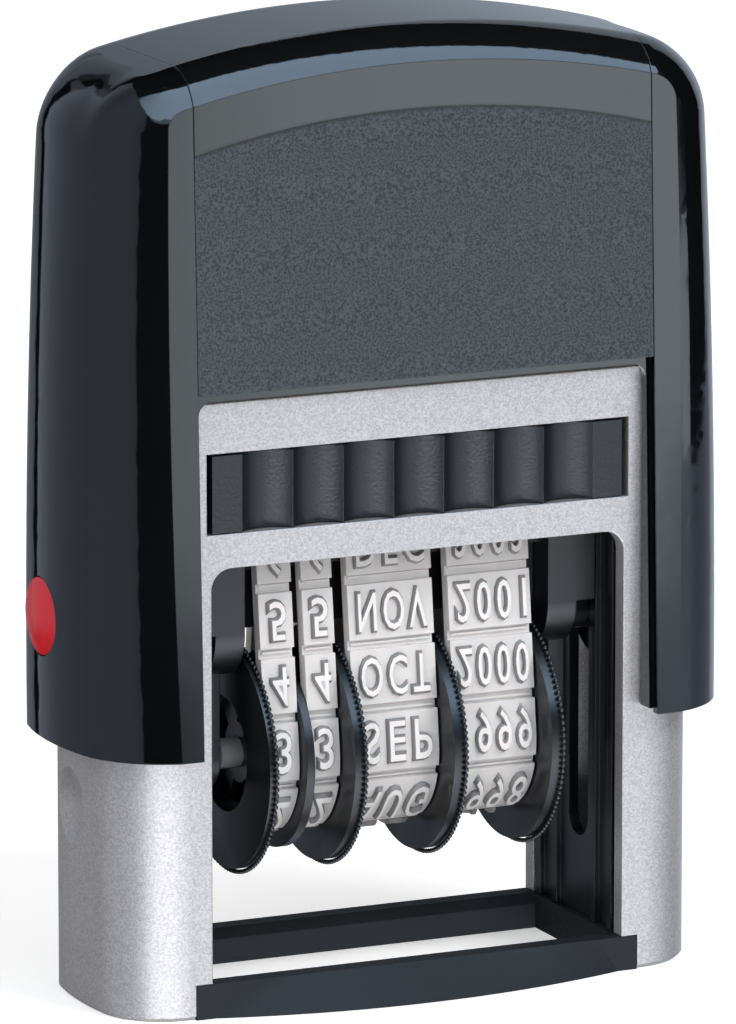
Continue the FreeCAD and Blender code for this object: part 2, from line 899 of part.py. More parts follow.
def band_place(distance):
    # the point on a band's middle line at a distance from the print line, and its normal's angle
    lean = band_lean()
    middle = belt_thickness / 2
    drum = belt_inner_radius + middle
    corner = platen_corner_radius + middle
    corner_turn = math.pi / 2 - lean
    apart = math.hypot(platen_half_flat, platen_corner_height - axle_height)
    straight = math.sqrt(apart ** 2 - (belt_inner_radius - platen_corner_radius) ** 2)
    if distance < platen_half_flat:
        return distance, platen_corner_height + corner, 0
    distance -= platen_half_flat
    if distance < corner * corner_turn:
        angle = distance / corner
        y = platen_half_flat + corner * math.sin(angle)
        return y, platen_corner_height + corner * math.cos(angle), angle
    distance -= corner * corner_turn
    if distance < straight:
        y = platen_half_flat + corner * math.cos(lean) + distance * math.sin(lean)
        z = platen_corner_height + corner * math.sin(lean) - distance * math.cos(lean)
        return y, z, corner_turn
    angle = corner_turn + (distance - straight) / drum
    return drum * math.sin(angle), axle_height + drum * math.cos(angle), angle


def band_length():
    lean = band_lean()
    middle = belt_thickness / 2
    corner = platen_corner_radius + middle
    drum = belt_inner_radius + middle
    apart = math.hypot(platen_half_flat, platen_corner_height - axle_height)
    straight = math.sqrt(apart ** 2 - (belt_inner_radius - platen_corner_radius) ** 2)
    turns = corner * (math.pi / 2 - lean) + drum * (math.pi / 2 + lean)
    return 2 * (platen_half_flat + straight + turns)


def make_band(left, right):
    x0 = left + band_side_play
    x1 = right - band_side_play
    band = band_loop(belt_thickness + block_height, x0, x1)
    band = band.cut(band_loop(0, x0 - overrun, x1 + overrun))
    pitch = band_length() / block_count
    grooves = []
    for number in range(block_count):
        # the grooves lie half a pitch each way from the print line, and so on round the loop
        side = 1 if number % 2 else -1
        y, z, angle = band_place((number // 2 + 0.5) * pitch)
        groove = box(
            x0 - overrun,
            x1 + overrun,
            -block_gap / 2,
            block_gap / 2,
            belt_thickness / 2,
            belt_thickness + block_height + overrun,
        )
        turn = Rotation(along_x, -math.degrees(angle) * side)
        groove.Placement = Placement(Vector(0, side * y, z), turn)
        grooves.append(groove)
    return band.cut(grooves)


def make_platen():
    # the head that the bands bend over, on a web between their two runs
    x1 = block_inner - seat_gap
    below = -seat_gap
    head = band_loop(below, -x1, x1)
    keep = box(
        -x1,
        x1,
        -belt_inner_radius,
        belt_inner_radius,
        platen_corner_height - platen_head_depth,
        platen_corner_height + belt_inner_radius,
    )
    web = box(
        -x1,
        x1,
        -platen_web_half_depth,
        platen_web_half_depth,
        platen_corner_height - platen_web_drop,
        platen_corner_height - platen_head_depth,
    )
    return head.common(keep).fuse(web).removeSplitter()


def toothed_disc(x0, x1):
    points = []
    step = 2 * math.pi / wheel_teeth
    radii = (
        wheel_radius - tooth_height,
        wheel_radius,
        wheel_radius,
        wheel_radius - tooth_height,
    )
    for tooth in range(wheel_teeth):
        for share, radius in zip(tooth_shares, radii):
            angle = (tooth + share) * step
            points.append(
                Vector(x0, radius * math.sin(angle), axle_height + radius * math.cos(angle))
            )
    wire = Part.makePolygon(points + points[:1])
    return Part.Face(wire).extrude(Vector(x1 - x0, 0, 0))


def arc_slot(inner, outer, start, sweep, x0, x1):
    # a crescent between two radii, cut along X
    ring = Part.makeCylinder(outer, x1 - x0, Vector(x0, 0, axle_height), along_x, sweep)
    ring = ring.cut(rod(inner, x0 - overrun, x1 + overrun, 0, axle_height))
    ring.rotate(Vector(0, 0, axle_height), along_x, start)
    return ring


def make_wheel(rim_left, rim_right, band_left, band_right):
    # the drum fills its band, and the open face of the wheel is dished with crescents in the web
    drum_radius = belt_inner_radius - running_gap
    inside = drum_radius - drum_wall
    rim_is_left = rim_left < band_left
    x0 = rim_left if rim_is_left else band_left + band_side_play
    x1 = band_right - band_side_play if rim_is_left else rim_right
    body = toothed_disc(rim_left + seat_gap, rim_right - seat_gap)
    body = body.fuse(rod(drum_radius, x0 + seat_gap, x1 - seat_gap, 0, axle_height))
    if rim_is_left:
        web_0 = rim_right + web_setback
    else:
        web_0 = rim_left - web_setback - web_thickness
    web_1 = web_0 + web_thickness
    bore = rod(axle_radius + running_gap, x0 - overrun, x1 + overrun, 0, axle_height)
    hollow = rod(inside, x0 - overrun, web_0, 0, axle_height)
    hollow = hollow.fuse(rod(inside, web_1, x1 + overrun, 0, axle_height))
    far = x1 if rim_is_left else x0
    hub = rod(hub_radius, min(web_0, far), max(web_1, far), 0, axle_height)
    body = body.cut(hollow).fuse(hub).cut(bore)
    for number in range(crescent_count):
        slot = arc_slot(
            hub_radius + crescent_margin,
            inside - crescent_margin,
            number * 360.0 / crescent_count,
            crescent_sweep,
            web_0 - seat_gap,
            web_1 + seat_gap,
        )
        body = body.cut(slot)
    return body.removeSplitter()


def make_divider_disc():
    x0 = divider_left
    x1 = divider_right
    disc = rod(divider_radius, x0, x1, 0, axle_height)
    return disc.cut(rod(axle_radius + running_gap, x0 - overrun, x1 + overrun, 0, axle_height))


def make_pad_cassette():
    low = pad_slot_bottom + cassette_play_below
    high = pad_slot_top - cassette_play_above
    tray = box(
        -cassette_half_width,
        cassette_half_width,
        -cassette_half_depth,
        cassette_half_depth,
        low,
        high,
    )
    hollow = box(
        -cassette_half_width + cassette_side,
        cassette_half_width - cassette_side,
        -cassette_half_depth + cassette_end,
        cassette_half_depth - cassette_end,
        low - overrun,
        high - cassette_roof,
    )
    tray = tray.cut(hollow)
    span = cassette_half_width - flute_margin
    pitch = 2 * span / flute_count
    radius = ((pitch / 2) ** 2 + flute_depth ** 2) / (2 * flute_depth)
    flutes = []
    for number in range(flute_count):
        x = -span + (number + 0.5) * pitch
        for side in (-1, 1):
            y = side * (cassette_half_depth - flute_depth + radius)
            place = Vector(x, y, low - overrun)
            flutes.append(Part.makeCylinder(radius, high - low + 2 * overrun, place))
    return tray.cut(flutes)


def make_ink_pad():
    half_width = cassette_half_width - cassette_side - pad_side_play
    half_depth = cassette_half_depth - cassette_end - pad_side_play
    low = pad_slot_bottom + cassette_play_below + pad_recess
    high = pad_slot_top - cassette_play_above - cassette_roof
    return box(-half_width, half_width, -half_depth, half_depth, low, high)


def main():
    os.makedirs("parts", exist_ok=True)
    guide = make_guide_plate()
    plate = make_carriage_plate()
    pin = make_pivot_pin()
    outside = cap_outside()
    button = make_button()
    parts = {
        "base_frame": make_base_frame(),
        "guide_plate_left": other_side(guide),
        "guide_plate_right": guide,
        "foot_frame": make_foot_frame(),
        "pad_cassette": make_pad_cassette(),
        "ink_pad": make_ink_pad(),
        "cap_shell": make_cap_shell(outside),
        "label_cover": make_label_cover(outside),
        "yoke": make_yoke(),
        "return_spring": make_return_spring(),
        "lock_button_left": other_side(button),
        "lock_button_right": button,
        "carriage_plate_left": other_side(plate),
        "carriage_plate_right": plate,
        "platen": make_platen(),
        "wheel_axle": make_wheel_axle(),
        "pivot_pin_left": other_side(pin),
        "pivot_pin_right": pin,
        "divider_disc": make_divider_disc(),
    }
    for name, rim_left, rim_right, band_left, band_right in wheels:
        parts["band_" + name] = make_band(band_left, band_right)
        parts["wheel_" + name] = make_wheel(rim_left, rim_right, band_left, band_right)
    print("block pitch", round(band_length() / block_count, 2))
    for name, shape in parts.items():
        shape.exportStep(f"parts/{name}.step")
        bounds = shape.BoundBox
        print(
            f"{name}: {len(shape.Solids)} solid, valid {shape.isValid()}, volume {shape.Volume:.1f}, "
            f"x {bounds.XMin:.2f} {bounds.XMax:.2f} y {bounds.YMin:.2f} {bounds.YMax:.2f} "
            f"z {bounds.ZMin:.2f} {bounds.ZMax:.2f}"
        )


main()
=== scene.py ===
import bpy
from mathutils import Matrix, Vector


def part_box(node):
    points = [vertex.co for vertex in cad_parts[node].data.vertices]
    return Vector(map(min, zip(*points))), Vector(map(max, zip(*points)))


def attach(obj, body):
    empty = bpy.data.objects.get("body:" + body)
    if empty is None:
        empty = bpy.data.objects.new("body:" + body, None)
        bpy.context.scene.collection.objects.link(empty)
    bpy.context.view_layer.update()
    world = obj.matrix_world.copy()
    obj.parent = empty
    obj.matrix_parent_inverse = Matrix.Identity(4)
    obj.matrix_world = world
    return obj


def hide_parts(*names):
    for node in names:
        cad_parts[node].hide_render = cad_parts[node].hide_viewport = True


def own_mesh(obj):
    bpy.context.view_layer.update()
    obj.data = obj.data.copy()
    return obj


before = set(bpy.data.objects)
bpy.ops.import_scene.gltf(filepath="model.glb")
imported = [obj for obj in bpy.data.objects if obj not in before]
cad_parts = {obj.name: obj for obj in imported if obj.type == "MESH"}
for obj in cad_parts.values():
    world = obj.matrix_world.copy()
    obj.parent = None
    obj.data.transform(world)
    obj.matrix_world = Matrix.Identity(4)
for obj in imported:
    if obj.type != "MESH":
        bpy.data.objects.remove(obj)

"""Dresses the flip-over date stamp: finishes, characters, wheel beads, ink pad and studio.

Everything is in metres in the frame of the CAD model: X to the right along the front, Y to the
rear, Z up from the paper.
"""

import logging
import math
from dataclasses import dataclass, field
from enum import Enum
from typing import NamedTuple

import bmesh
import bpy
from mathutils import Vector

MM = 0.001
LOG = logging.getLogger("date_stamp")
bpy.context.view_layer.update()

Point = tuple[float, float, float]
Links = dict[str, object]


def linear(hex_colour: str) -> tuple[float, float, float, float]:
    """Turns an sRGB hex colour into linear light.

    Args:
        hex_colour: six hex digits after a hash sign.

    Returns:
        Red, green, blue and an alpha of one.
    """
    channels = []
    for start in (1, 3, 5):
        value = int(hex_colour[start : start + 2], 16) / 255
        low = value / 12.92
        high = ((value + 0.055) / 1.055) ** 2.4
        channels.append(low if value <= 0.04045 else high)
    return channels[0], channels[1], channels[2], 1.0


def add_node(
    tree: bpy.types.NodeTree,
    kind: str,
    settings: Links | None = None,
    inputs: Links | None = None,
) -> bpy.types.Node:
    """Adds a node with its settings, its values and its links.

    Args:
        tree: the tree that gets the node.
        kind: the node's type name.
        settings: properties of the node by name.
        inputs: values or sockets by the name or number of the input.

    Returns:
        The new node.
    """
    node = tree.nodes.new(kind)
    for name, value in (settings or {}).items():
        setattr(node, name, value)
    for name, value in (inputs or {}).items():
        if isinstance(value, bpy.types.NodeSocket):
            tree.links.new(value, node.inputs[name])
        else:
            node.inputs[name].default_value = value
    return node


def scale_for(width_mm: float) -> float:
    """The texture scale, per metre, whose features are this many millimetres wide."""
    return 1000.0 / width_mm


def noise(
    tree: bpy.types.NodeTree,
    place: bpy.types.NodeSocket,
    width_mm: float,
    detail: float,
    **more: float,
) -> bpy.types.NodeSocket:
    """Adds noise whose features are this many millimetres wide, and returns its value."""
    inputs = {"Vector": place, "Scale": scale_for(width_mm), "Detail": detail, **more}
    return add_node(tree, "ShaderNodeTexNoise", inputs=inputs).outputs["Fac"]


def remap(
    tree: bpy.types.NodeTree,
    value: bpy.types.NodeSocket,
    to: tuple[float, float],
    given: tuple[float, float] = (0.0, 1.0),
    **settings: str,
) -> bpy.types.NodeSocket:
    """Carries a value from one range to another.

    Args:
        tree: the material's tree.
        value: the value.
        to: what the two ends become.
        given: the two ends of the value.
        settings: properties of the node.

    Returns:
        The new value, held between the ends.
    """
    inputs = {"Value": value, "From Min": given[0], "From Max": given[1]}
    inputs.update({"To Min": to[0], "To Max": to[1]})
    return add_node(tree, "ShaderNodeMapRange", settings, inputs).outputs["Result"]


def mix_colour(
    tree: bpy.types.NodeTree, share: bpy.types.NodeSocket, first: object, second: object
) -> bpy.types.NodeSocket:
    """Adds a mix of two colours by a share, and returns the mixed colour."""
    node = add_node(
        tree, "ShaderNodeMix", {"data_type": "RGBA"}, {"Factor": share, "A": first, "B": second}
    )
    return next(socket for socket in node.outputs if socket.type == "RGBA" and socket.enabled)


def calculate(tree: bpy.types.NodeTree, operation: str, *values: object) -> bpy.types.NodeSocket:
    """Adds a Math node for an operation on values or sockets, and returns its result."""
    node = add_node(tree, "ShaderNodeMath", {"operation": operation}, dict(enumerate(values)))
    return node.outputs[0]


def bump(
    tree: bpy.types.NodeTree,
    height: bpy.types.NodeSocket,
    distance_mm: float,
    strength: object = 1.0,
    edge_mm: float | None = None,
) -> bpy.types.NodeSocket:
    """Adds a bumped normal.

    Args:
        tree: the material's tree.
        height: the height from 0 to 1.
        distance_mm: the height that 1 stands for.
        strength: how much of it is used.
        edge_mm: the radius of the edges that it lies on, or None for plain edges.

    Returns:
        The normal.
    """
    inputs = {"Strength": strength, "Distance": distance_mm * MM, "Height": height}
    if edge_mm is not None:
        edge = add_node(tree, "ShaderNodeBevel", {"samples": 4}, {"Radius": edge_mm * MM})
        inputs["Normal"] = edge.outputs["Normal"]
    return add_node(tree, "ShaderNodeBump", inputs=inputs).outputs["Normal"]


class Body(Enum):
    """The moving bodies of the stamp."""

    BASE = "base"
    PAD = "pad"
    CAP = "cap"
    BUTTON_LEFT = "button_left"
    BUTTON_RIGHT = "button_right"
    CARRIAGE = "carriage"
    DAY_TENS = "wheel_day_tens"
    DAY_UNITS = "wheel_day_units"
    MONTH = "wheel_month"
    YEAR = "wheel_year"


@dataclass(frozen=True)
class Plastic:
    """A moulded plastic: one colour, a soft mottle in its gloss, and a grain in its skin."""

    name: str
    colour: str
    roughness: float
    deep: str | None = None
    mottle_mm: float = 9.0
    mottle: float = 0.04
    grain_mm: float = 0.35
    grain_height_mm: float = 0.0
    edge_mm: float = 0.12
    ior: float = 1.5
    subsurface: float = 0.0

    def build(self) -> bpy.types.Material:
        """Builds the material.

        Returns:
            A node material on Object coordinates.
        """
        material, tree, place = blank_material(self.name)
        mottle = noise(tree, place, self.mottle_mm, 4.0)
        rough = (max(self.roughness - self.mottle, 0.02), self.roughness + self.mottle)
        deep = linear(self.deep or self.colour)
        inputs = {
            "Base Color": mix_colour(tree, mottle, deep, linear(self.colour)),
            "Roughness": remap(tree, mottle, rough, (0.3, 0.7)),
            "IOR": self.ior,
            "Subsurface Weight": self.subsurface,
            "Subsurface Scale": 0.4 * MM,
            "Normal": skin(tree, place, self.edge_mm, self.grain_mm, self.grain_height_mm),
        }
        return principled(material, tree, inputs)


@dataclass(frozen=True)
class SilverPaint:
    """Silver paint sprayed on moulded ABS: fine flakes in a satin film."""

    name: str = "silver_paint_sprayed_abs"
    colour: str = "#c3bfbd"
    shade: str = "#9f9b9a"
    roughness: float = 0.36
    metallic: float = 0.55
    # real flakes are near 0.05 mm, drawn coarser so that they show
    flake_mm: float = 0.14
    edge_mm: float = 0.2
    flake_height_mm: float = 0.004
    # how much a flake and the slow clouds in the paint lighten it
    sparkle: float = 0.85
    haze: float = 0.12
    haze_mm: float = 14.0

    def build(self) -> bpy.types.Material:
        """Builds the material.

        Returns:
            A node material on Object coordinates.
        """
        material, tree, place = blank_material(self.name)
        flakes = add_node(
            tree,
            "ShaderNodeTexVoronoi",
            inputs={"Vector": place, "Scale": scale_for(self.flake_mm)},
        )
        sparkle = add_node(
            tree, "ShaderNodeSeparateColor", inputs={"Color": flakes.outputs["Color"]}
        )
        haze = remap(tree, noise(tree, place, self.haze_mm, 3.0), (0.0, self.haze))
        share = calculate(tree, "MULTIPLY_ADD", sparkle.outputs["Red"], self.sparkle, haze)
        rough = (self.roughness - 0.06, self.roughness + 0.08)
        inputs = {
            "Base Color": mix_colour(tree, share, linear(self.shade), linear(self.colour)),
            "Metallic": self.metallic,
            "Roughness": remap(tree, sparkle.outputs["Green"], rough),
            "Normal": skin(tree, place, self.edge_mm, self.flake_mm, self.flake_height_mm),
        }
        return principled(material, tree, inputs)


@dataclass(frozen=True)
class GrainedPanel:
    """The cap's label cover: spark-eroded grain under an arc, and smooth gloss above it."""

    name: str = "grained_moulded_abs_cover"
    colour: str = "#36393b"
    deep: str = "#0a0b0c"
    smooth_colour: str = "#0f1011"
    # the real grain is near 0.15 mm, drawn a little coarser so that it shows
    grain_mm: float = 0.2
    grain_height_mm: float = 0.03
    rough: float = 0.6
    smooth: float = 0.06
    arc_radius: float = 91.4 * MM
    arc_top: float = 83.45 * MM
    # half the width in which the grain fades out at the arc
    fade: float = 0.4 * MM
    edge_mm: float = 0.12

    def build(self) -> bpy.types.Material:
        """Builds the material.

        Returns:
            A node material whose grain stops at the arc on the front and the rear.
        """
        material, tree, place = blank_material(self.name)
        split = add_node(tree, "ShaderNodeSeparateXYZ", inputs={"Vector": place})
        flat = add_node(
            tree,
            "ShaderNodeCombineXYZ",
            inputs={"X": split.outputs["X"], "Z": split.outputs["Z"]},
        )
        reach = add_node(
            tree,
            "ShaderNodeVectorMath",
            {"operation": "DISTANCE"},
            {0: flat.outputs["Vector"], 1: (0.0, 0.0, self.arc_top - self.arc_radius)},
        )
        border = (self.arc_radius - self.fade, self.arc_radius + self.fade)
        below = remap(
            tree, reach.outputs["Value"], (1.0, 0.0), border, interpolation_type="SMOOTHSTEP"
        )
        grain = noise(tree, place, self.grain_mm, 2.0, Roughness=0.6)
        speck = remap(tree, grain, (0.0, 1.0), (0.4, 0.56))
        grained = mix_colour(tree, speck, linear(self.deep), linear(self.colour))
        inputs = {
            "Base Color": mix_colour(tree, below, linear(self.smooth_colour), grained),
            "Roughness": remap(tree, below, (self.smooth, self.rough)),
            "Normal": bump(tree, grain, self.grain_height_mm, below, self.edge_mm),
        }
        return principled(material, tree, inputs)


@dataclass(frozen=True)
class Steel:
    """Drawn spring steel: bright, with fine lines along the wire."""

    name: str = "drawn_spring_steel"
    colour: str = "#9a9da1"
    roughness: float = 0.24
    streak_mm: float = 0.5

    def build(self) -> bpy.types.Material:
        """Builds the material.

        Returns:
            A node material on Object coordinates.
        """
        material, tree, place = blank_material(self.name)
        streak = noise(tree, place, self.streak_mm, 3.0)
        inputs = {
            "Base Color": linear(self.colour),
            "Metallic": 1.0,
            "Roughness": remap(tree, streak, (self.roughness - 0.08, self.roughness + 0.12)),
        }
        return principled(material, tree, inputs)


@dataclass(frozen=True)
class InkedFelt:
    """Pressed felt soaked with stamping ink: a matt skin of fibres, wet in places."""

    name: str = "pressed_felt_inked"
    colour: str = "#20232f"
    dry: str = "#34384a"
    fibre_mm: float = 0.35
    fibre_height_mm: float = 0.15
    # the size of the wet patches
    wet_mm: float = 6.0

    def build(self) -> bpy.types.Material:
        """Builds the material.

        Returns:
            A node material on Object coordinates.
        """
        material, tree, place = blank_material(self.name)
        fibres = noise(tree, place, self.fibre_mm, 5.0, Distortion=1.4)
        wet = noise(tree, place, self.wet_mm, 2.0)
        inputs = {
            "Base Color": mix_colour(tree, fibres, linear(self.colour), linear(self.dry)),
            "Roughness": remap(tree, wet, (0.55, 0.9), (0.4, 0.6)),
            "Sheen Weight": 0.3,
            "Normal": bump(tree, fibres, self.fibre_height_mm, 0.8),
        }
        return principled(material, tree, inputs)


def blank_tree(data: bpy.types.Material | bpy.types.World) -> bpy.types.NodeTree:
    """Gives a material or a world an empty node tree and returns the tree."""
    data.use_nodes = True
    data.node_tree.nodes.clear()
    return data.node_tree


def blank_material(
    name: str,
) -> tuple[bpy.types.Material, bpy.types.NodeTree, bpy.types.NodeSocket]:
    """Starts a node material.

    Args:
        name: the material's name.

    Returns:
        The material, its empty tree and the Object coordinates.
    """
    material = bpy.data.materials.new(name)
    tree = blank_tree(material)
    place = add_node(tree, "ShaderNodeTexCoord")
    return material, tree, place.outputs["Object"]


def surface(
    material: bpy.types.Material, tree: bpy.types.NodeTree, shader: bpy.types.Node
) -> bpy.types.Material:
    """Joins a shader to the material's output and returns the material."""
    add_node(tree, "ShaderNodeOutputMaterial", inputs={"Surface": shader.outputs[0]})
    return material


def principled(
    material: bpy.types.Material, tree: bpy.types.NodeTree, inputs: Links
) -> bpy.types.Material:
    """Ends a material in a Principled shader with these inputs and returns the material."""
    return surface(material, tree, add_node(tree, "ShaderNodeBsdfPrincipled", inputs=inputs))


def skin(
    tree: bpy.types.NodeTree,
    place: bpy.types.NodeSocket,
    edge_mm: float,
    grain_mm: float,
    grain_height_mm: float,
) -> bpy.types.NodeSocket:
    """The normal of a moulded skin: edges rounded by the tool, and a fine grain.

    Args:
        tree: the material's tree.
        place: the Object coordinates.
        edge_mm: the radius of the edges.
        grain_mm: the width of the grain.
        grain_height_mm: the height of the grain.

    Returns:
        The normal.
    """
    return bump(tree, noise(tree, place, grain_mm, 3.0), grain_height_mm, edge_mm=edge_mm)


@dataclass(frozen=True)
class Finishes:
    """Every finish of the stamp, built once."""

    # sprayed silver on the frame: soft metallic light with a cool shade
    frame_paint: SilverPaint = SilverPaint()
    # highly polished black ABS: a deep black with mirror-clear reflections
    cap_gloss: Plastic = Plastic(
        "piano_black_polished_abs", "#0d0f11", 0.06, deep="#08090b", mottle_mm=16.0, mottle=0.015,
        grain_mm=7.0, grain_height_mm=0.004, edge_mm=0.12,
    )
    # the cover over the front, top and rear: dull grain and smooth gloss
    cover_grain: GrainedPanel = GrainedPanel()
    # satin black ABS of the inner pieces: broad soft highlights
    black_plastic: Plastic = Plastic(
        "satin_black_moulded_abs", "#131416", 0.36, deep="#0d0e10", mottle=0.06, grain_mm=0.5,
        grain_height_mm=0.006, edge_mm=0.15,
    )
    # spark-eroded black ABS of the cassette: a fine dull grain that spreads the light
    black_eroded: Plastic = Plastic(
        "spark_eroded_black_abs", "#0e0f11", 0.42, deep="#060708", mottle_mm=0.4, mottle=0.08,
        grain_mm=0.3, grain_height_mm=0.02, edge_mm=0.15,
    )
    # the foot is rubbed dull by use: a flat dark grey with hardly any mirror light
    foot_plastic: Plastic = Plastic(
        "worn_dull_black_abs", "#27292b", 0.62, deep="#171819", mottle_mm=0.5, mottle=0.08,
        grain_mm=0.3, grain_height_mm=0.02, edge_mm=0.15, ior=1.28,
    )
    # the wheels are moulded in a harder, glossier black acetal
    wheel_plastic: Plastic = Plastic(
        "gloss_black_moulded_acetal", "#141518", 0.32, deep="#0c0d0f", mottle_mm=4.0, mottle=0.05,
        grain_mm=0.6, grain_height_mm=0.006, edge_mm=0.1,
    )
    # vulcanised off-white rubber: matt, faintly see-through, a little uneven
    band_rubber: Plastic = Plastic(
        "offwhite_vulcanised_rubber", "#e6e3e2", 0.55, deep="#d2cfce", mottle_mm=2.2, mottle=0.07,
        grain_mm=0.4, grain_height_mm=0.012, edge_mm=0.1, ior=1.52, subsurface=0.15,
    )
    # the printing faces of the characters are painted whiter than the band's rubber: a painted
    # highlight on the tops of the letters
    character_face: Plastic = Plastic(
        "offwhite_rubber_face_painted_highlight", "#f4f2f1", 0.5, deep="#e9e6e5", mottle_mm=1.6, mottle=0.05,
        grain_mm=0.3, grain_height_mm=0.006, edge_mm=0.06, ior=1.52, subsurface=0.1,
    )
    # the sloped sides of the characters are matt, and painted a darker grey than the band's
    # rubber: painted shade on the letters' sides
    character_side: Plastic = Plastic(
        "offwhite_rubber_side_painted_shade", "#94918f", 0.7, deep="#7f7c7b", mottle_mm=1.6,
        mottle=0.05, grain_mm=0.3, grain_height_mm=0.006, edge_mm=0.05, ior=1.52,
    )
    # bright red polished button
    button_red: Plastic = Plastic(
        "red_polished_abs", "#d3222b", 0.26, deep="#c21c25", mottle=0.03, edge_mm=0.2,
        subsurface=0.05,
    )
    # natural grey acetal of the axle and pins
    axle_grey: Plastic = Plastic(
        "grey_moulded_acetal", "#b4b9bc", 0.34, deep="#a4a9ac", mottle_mm=3.0, edge_mm=0.1
    )
    steel_wire: Steel = Steel()
    ink_felt: InkedFelt = InkedFelt()


class Wardrobe:
    """Builds each finish once and puts it on nodes and pieces."""

    def __init__(self, finishes: Finishes) -> None:
        """Keeps the finishes; nothing is built yet."""
        self.finishes = finishes
        self.built: dict[str, bpy.types.Material] = {}

    def get(self, finish: str) -> bpy.types.Material:
        """The material of a finish, built at its first use."""
        if finish not in self.built:
            self.built[finish] = getattr(self.finishes, finish).build()
        return self.built[finish]

    def dress(self, node: str, finish: str) -> None:
        """Gives a CAD node its finish in every material slot.

        Args:
            node: the CAD node's name.
            finish: the field of Finishes.
        """
        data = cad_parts[node].data
        if not data.materials:
            data.materials.append(None)
        for index in range(len(data.materials)):
            data.materials[index] = self.get(finish)
        LOG.info("node %s wears %s", node, finish)


def new_piece(name: str, mesh: bpy.types.Mesh) -> bpy.types.Object:
    """Links a mesh to the scene as an object at the origin."""
    piece = bpy.data.objects.new(name, mesh)
    bpy.context.scene.collection.objects.link(piece)
    return piece


def finish_piece(piece: bpy.types.Object, body: Body) -> bpy.types.Object:
    """Lets a piece ride on its body.

    Args:
        piece: the finished piece.
        body: the body that carries it.

    Returns:
        The piece.
    """
    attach(piece, body.value)
    LOG.info("piece %s: %d faces on %s", piece.name, len(piece.data.polygons), body.value)
    return piece


def baked_nodes(
    name: str, start: bpy.types.Mesh, tree: bpy.types.NodeTree, values: Links
) -> bpy.types.Object:
    """Runs a Geometry Nodes tree on a mesh and keeps the result as a plain mesh.

    Args:
        name: the new piece's name.
        start: the mesh that the tree starts from.
        tree: the tree.
        values: the tree's inputs by name.

    Returns:
        The piece, with no modifier left.
    """
    piece = new_piece(name, start)
    modifier = piece.modifiers.new("nodes", "NODES")
    modifier.node_group = tree
    sockets = {
        item.name: item.identifier
        for item in tree.interface.items_tree
        if item.item_type == "SOCKET" and item.in_out == "INPUT"
    }
    for key, value in values.items():
        modifier[sockets[key]] = value
    mesh = evaluated_mesh(piece)
    mesh.name = name
    piece.modifiers.clear()
    piece.data = mesh
    return piece


def group_tree(name: str, inputs: dict[str, str]) -> bpy.types.NodeTree:
    """Starts a Geometry Nodes tree that takes and gives geometry.

    Args:
        name: the tree's name.
        inputs: the kind of each further input by its name.

    Returns:
        The tree with its sockets.
    """
    tree = bpy.data.node_groups.new(name, "GeometryNodeTree")
    for key, kind in {"Geometry": "Geometry", **inputs}.items():
        tree.interface.new_socket(name=key, in_out="INPUT", socket_type=f"NodeSocket{kind}")
    tree.interface.new_socket(name="Geometry", in_out="OUTPUT", socket_type="NodeSocketGeometry")
    return tree


def instances(
    tree: bpy.types.NodeTree,
    given: bpy.types.NodeInputs,
    place: bpy.types.NodeSocket,
    shape: bpy.types.NodeSocket,
    **more: bpy.types.NodeSocket,
) -> bpy.types.NodeSocket:
    """Sets a shape on each of the points that the tree's Count input asks for.

    Args:
        tree: the tree.
        given: the tree's own inputs.
        place: the place of each point by its number.
        shape: what stands on each point.
        more: further inputs of Instance on Points.

    Returns:
        The real geometry.
    """
    points = add_node(
        tree, "GeometryNodePoints", inputs={"Count": given["Count"], "Position": place}
    )
    placed = add_node(
        tree,
        "GeometryNodeInstanceOnPoints",
        inputs={"Points": points.outputs["Points"], "Instance": shape, **more},
    )
    real = add_node(
        tree, "GeometryNodeRealizeInstances", inputs={"Geometry": placed.outputs["Instances"]}
    )
    return real.outputs["Geometry"]


def end_group(
    tree: bpy.types.NodeTree, given: bpy.types.NodeInputs, geometry: bpy.types.NodeSocket
) -> bpy.types.NodeTree:
    """Puts the tree's Material input on the geometry, ends the tree and returns it."""
    dressed = add_node(
        tree,
        "GeometryNodeSetMaterial",
        inputs={"Geometry": geometry, "Material": given["Material"]},
    )
    add_node(tree, "NodeGroupOutput", inputs={0: dressed.outputs["Geometry"]})
    return tree


def evaluated_mesh(item: bpy.types.Object) -> bpy.types.Mesh:
    """The plain mesh of an object as it stands with its curve or modifiers worked out."""
    bpy.context.view_layer.update()
    evaluated = item.evaluated_get(bpy.context.evaluated_depsgraph_get())
    return bpy.data.meshes.new_from_object(evaluated)


def mesh_of_curve(name: str, curve: bpy.types.Curve) -> bpy.types.Mesh:
    """Turns a curve or a text into a plain mesh and leaves no object behind."""
    item = bpy.data.objects.new(name, curve)
    bpy.context.scene.collection.objects.link(item)
    mesh = evaluated_mesh(item)
    bpy.data.objects.remove(item)
    return mesh


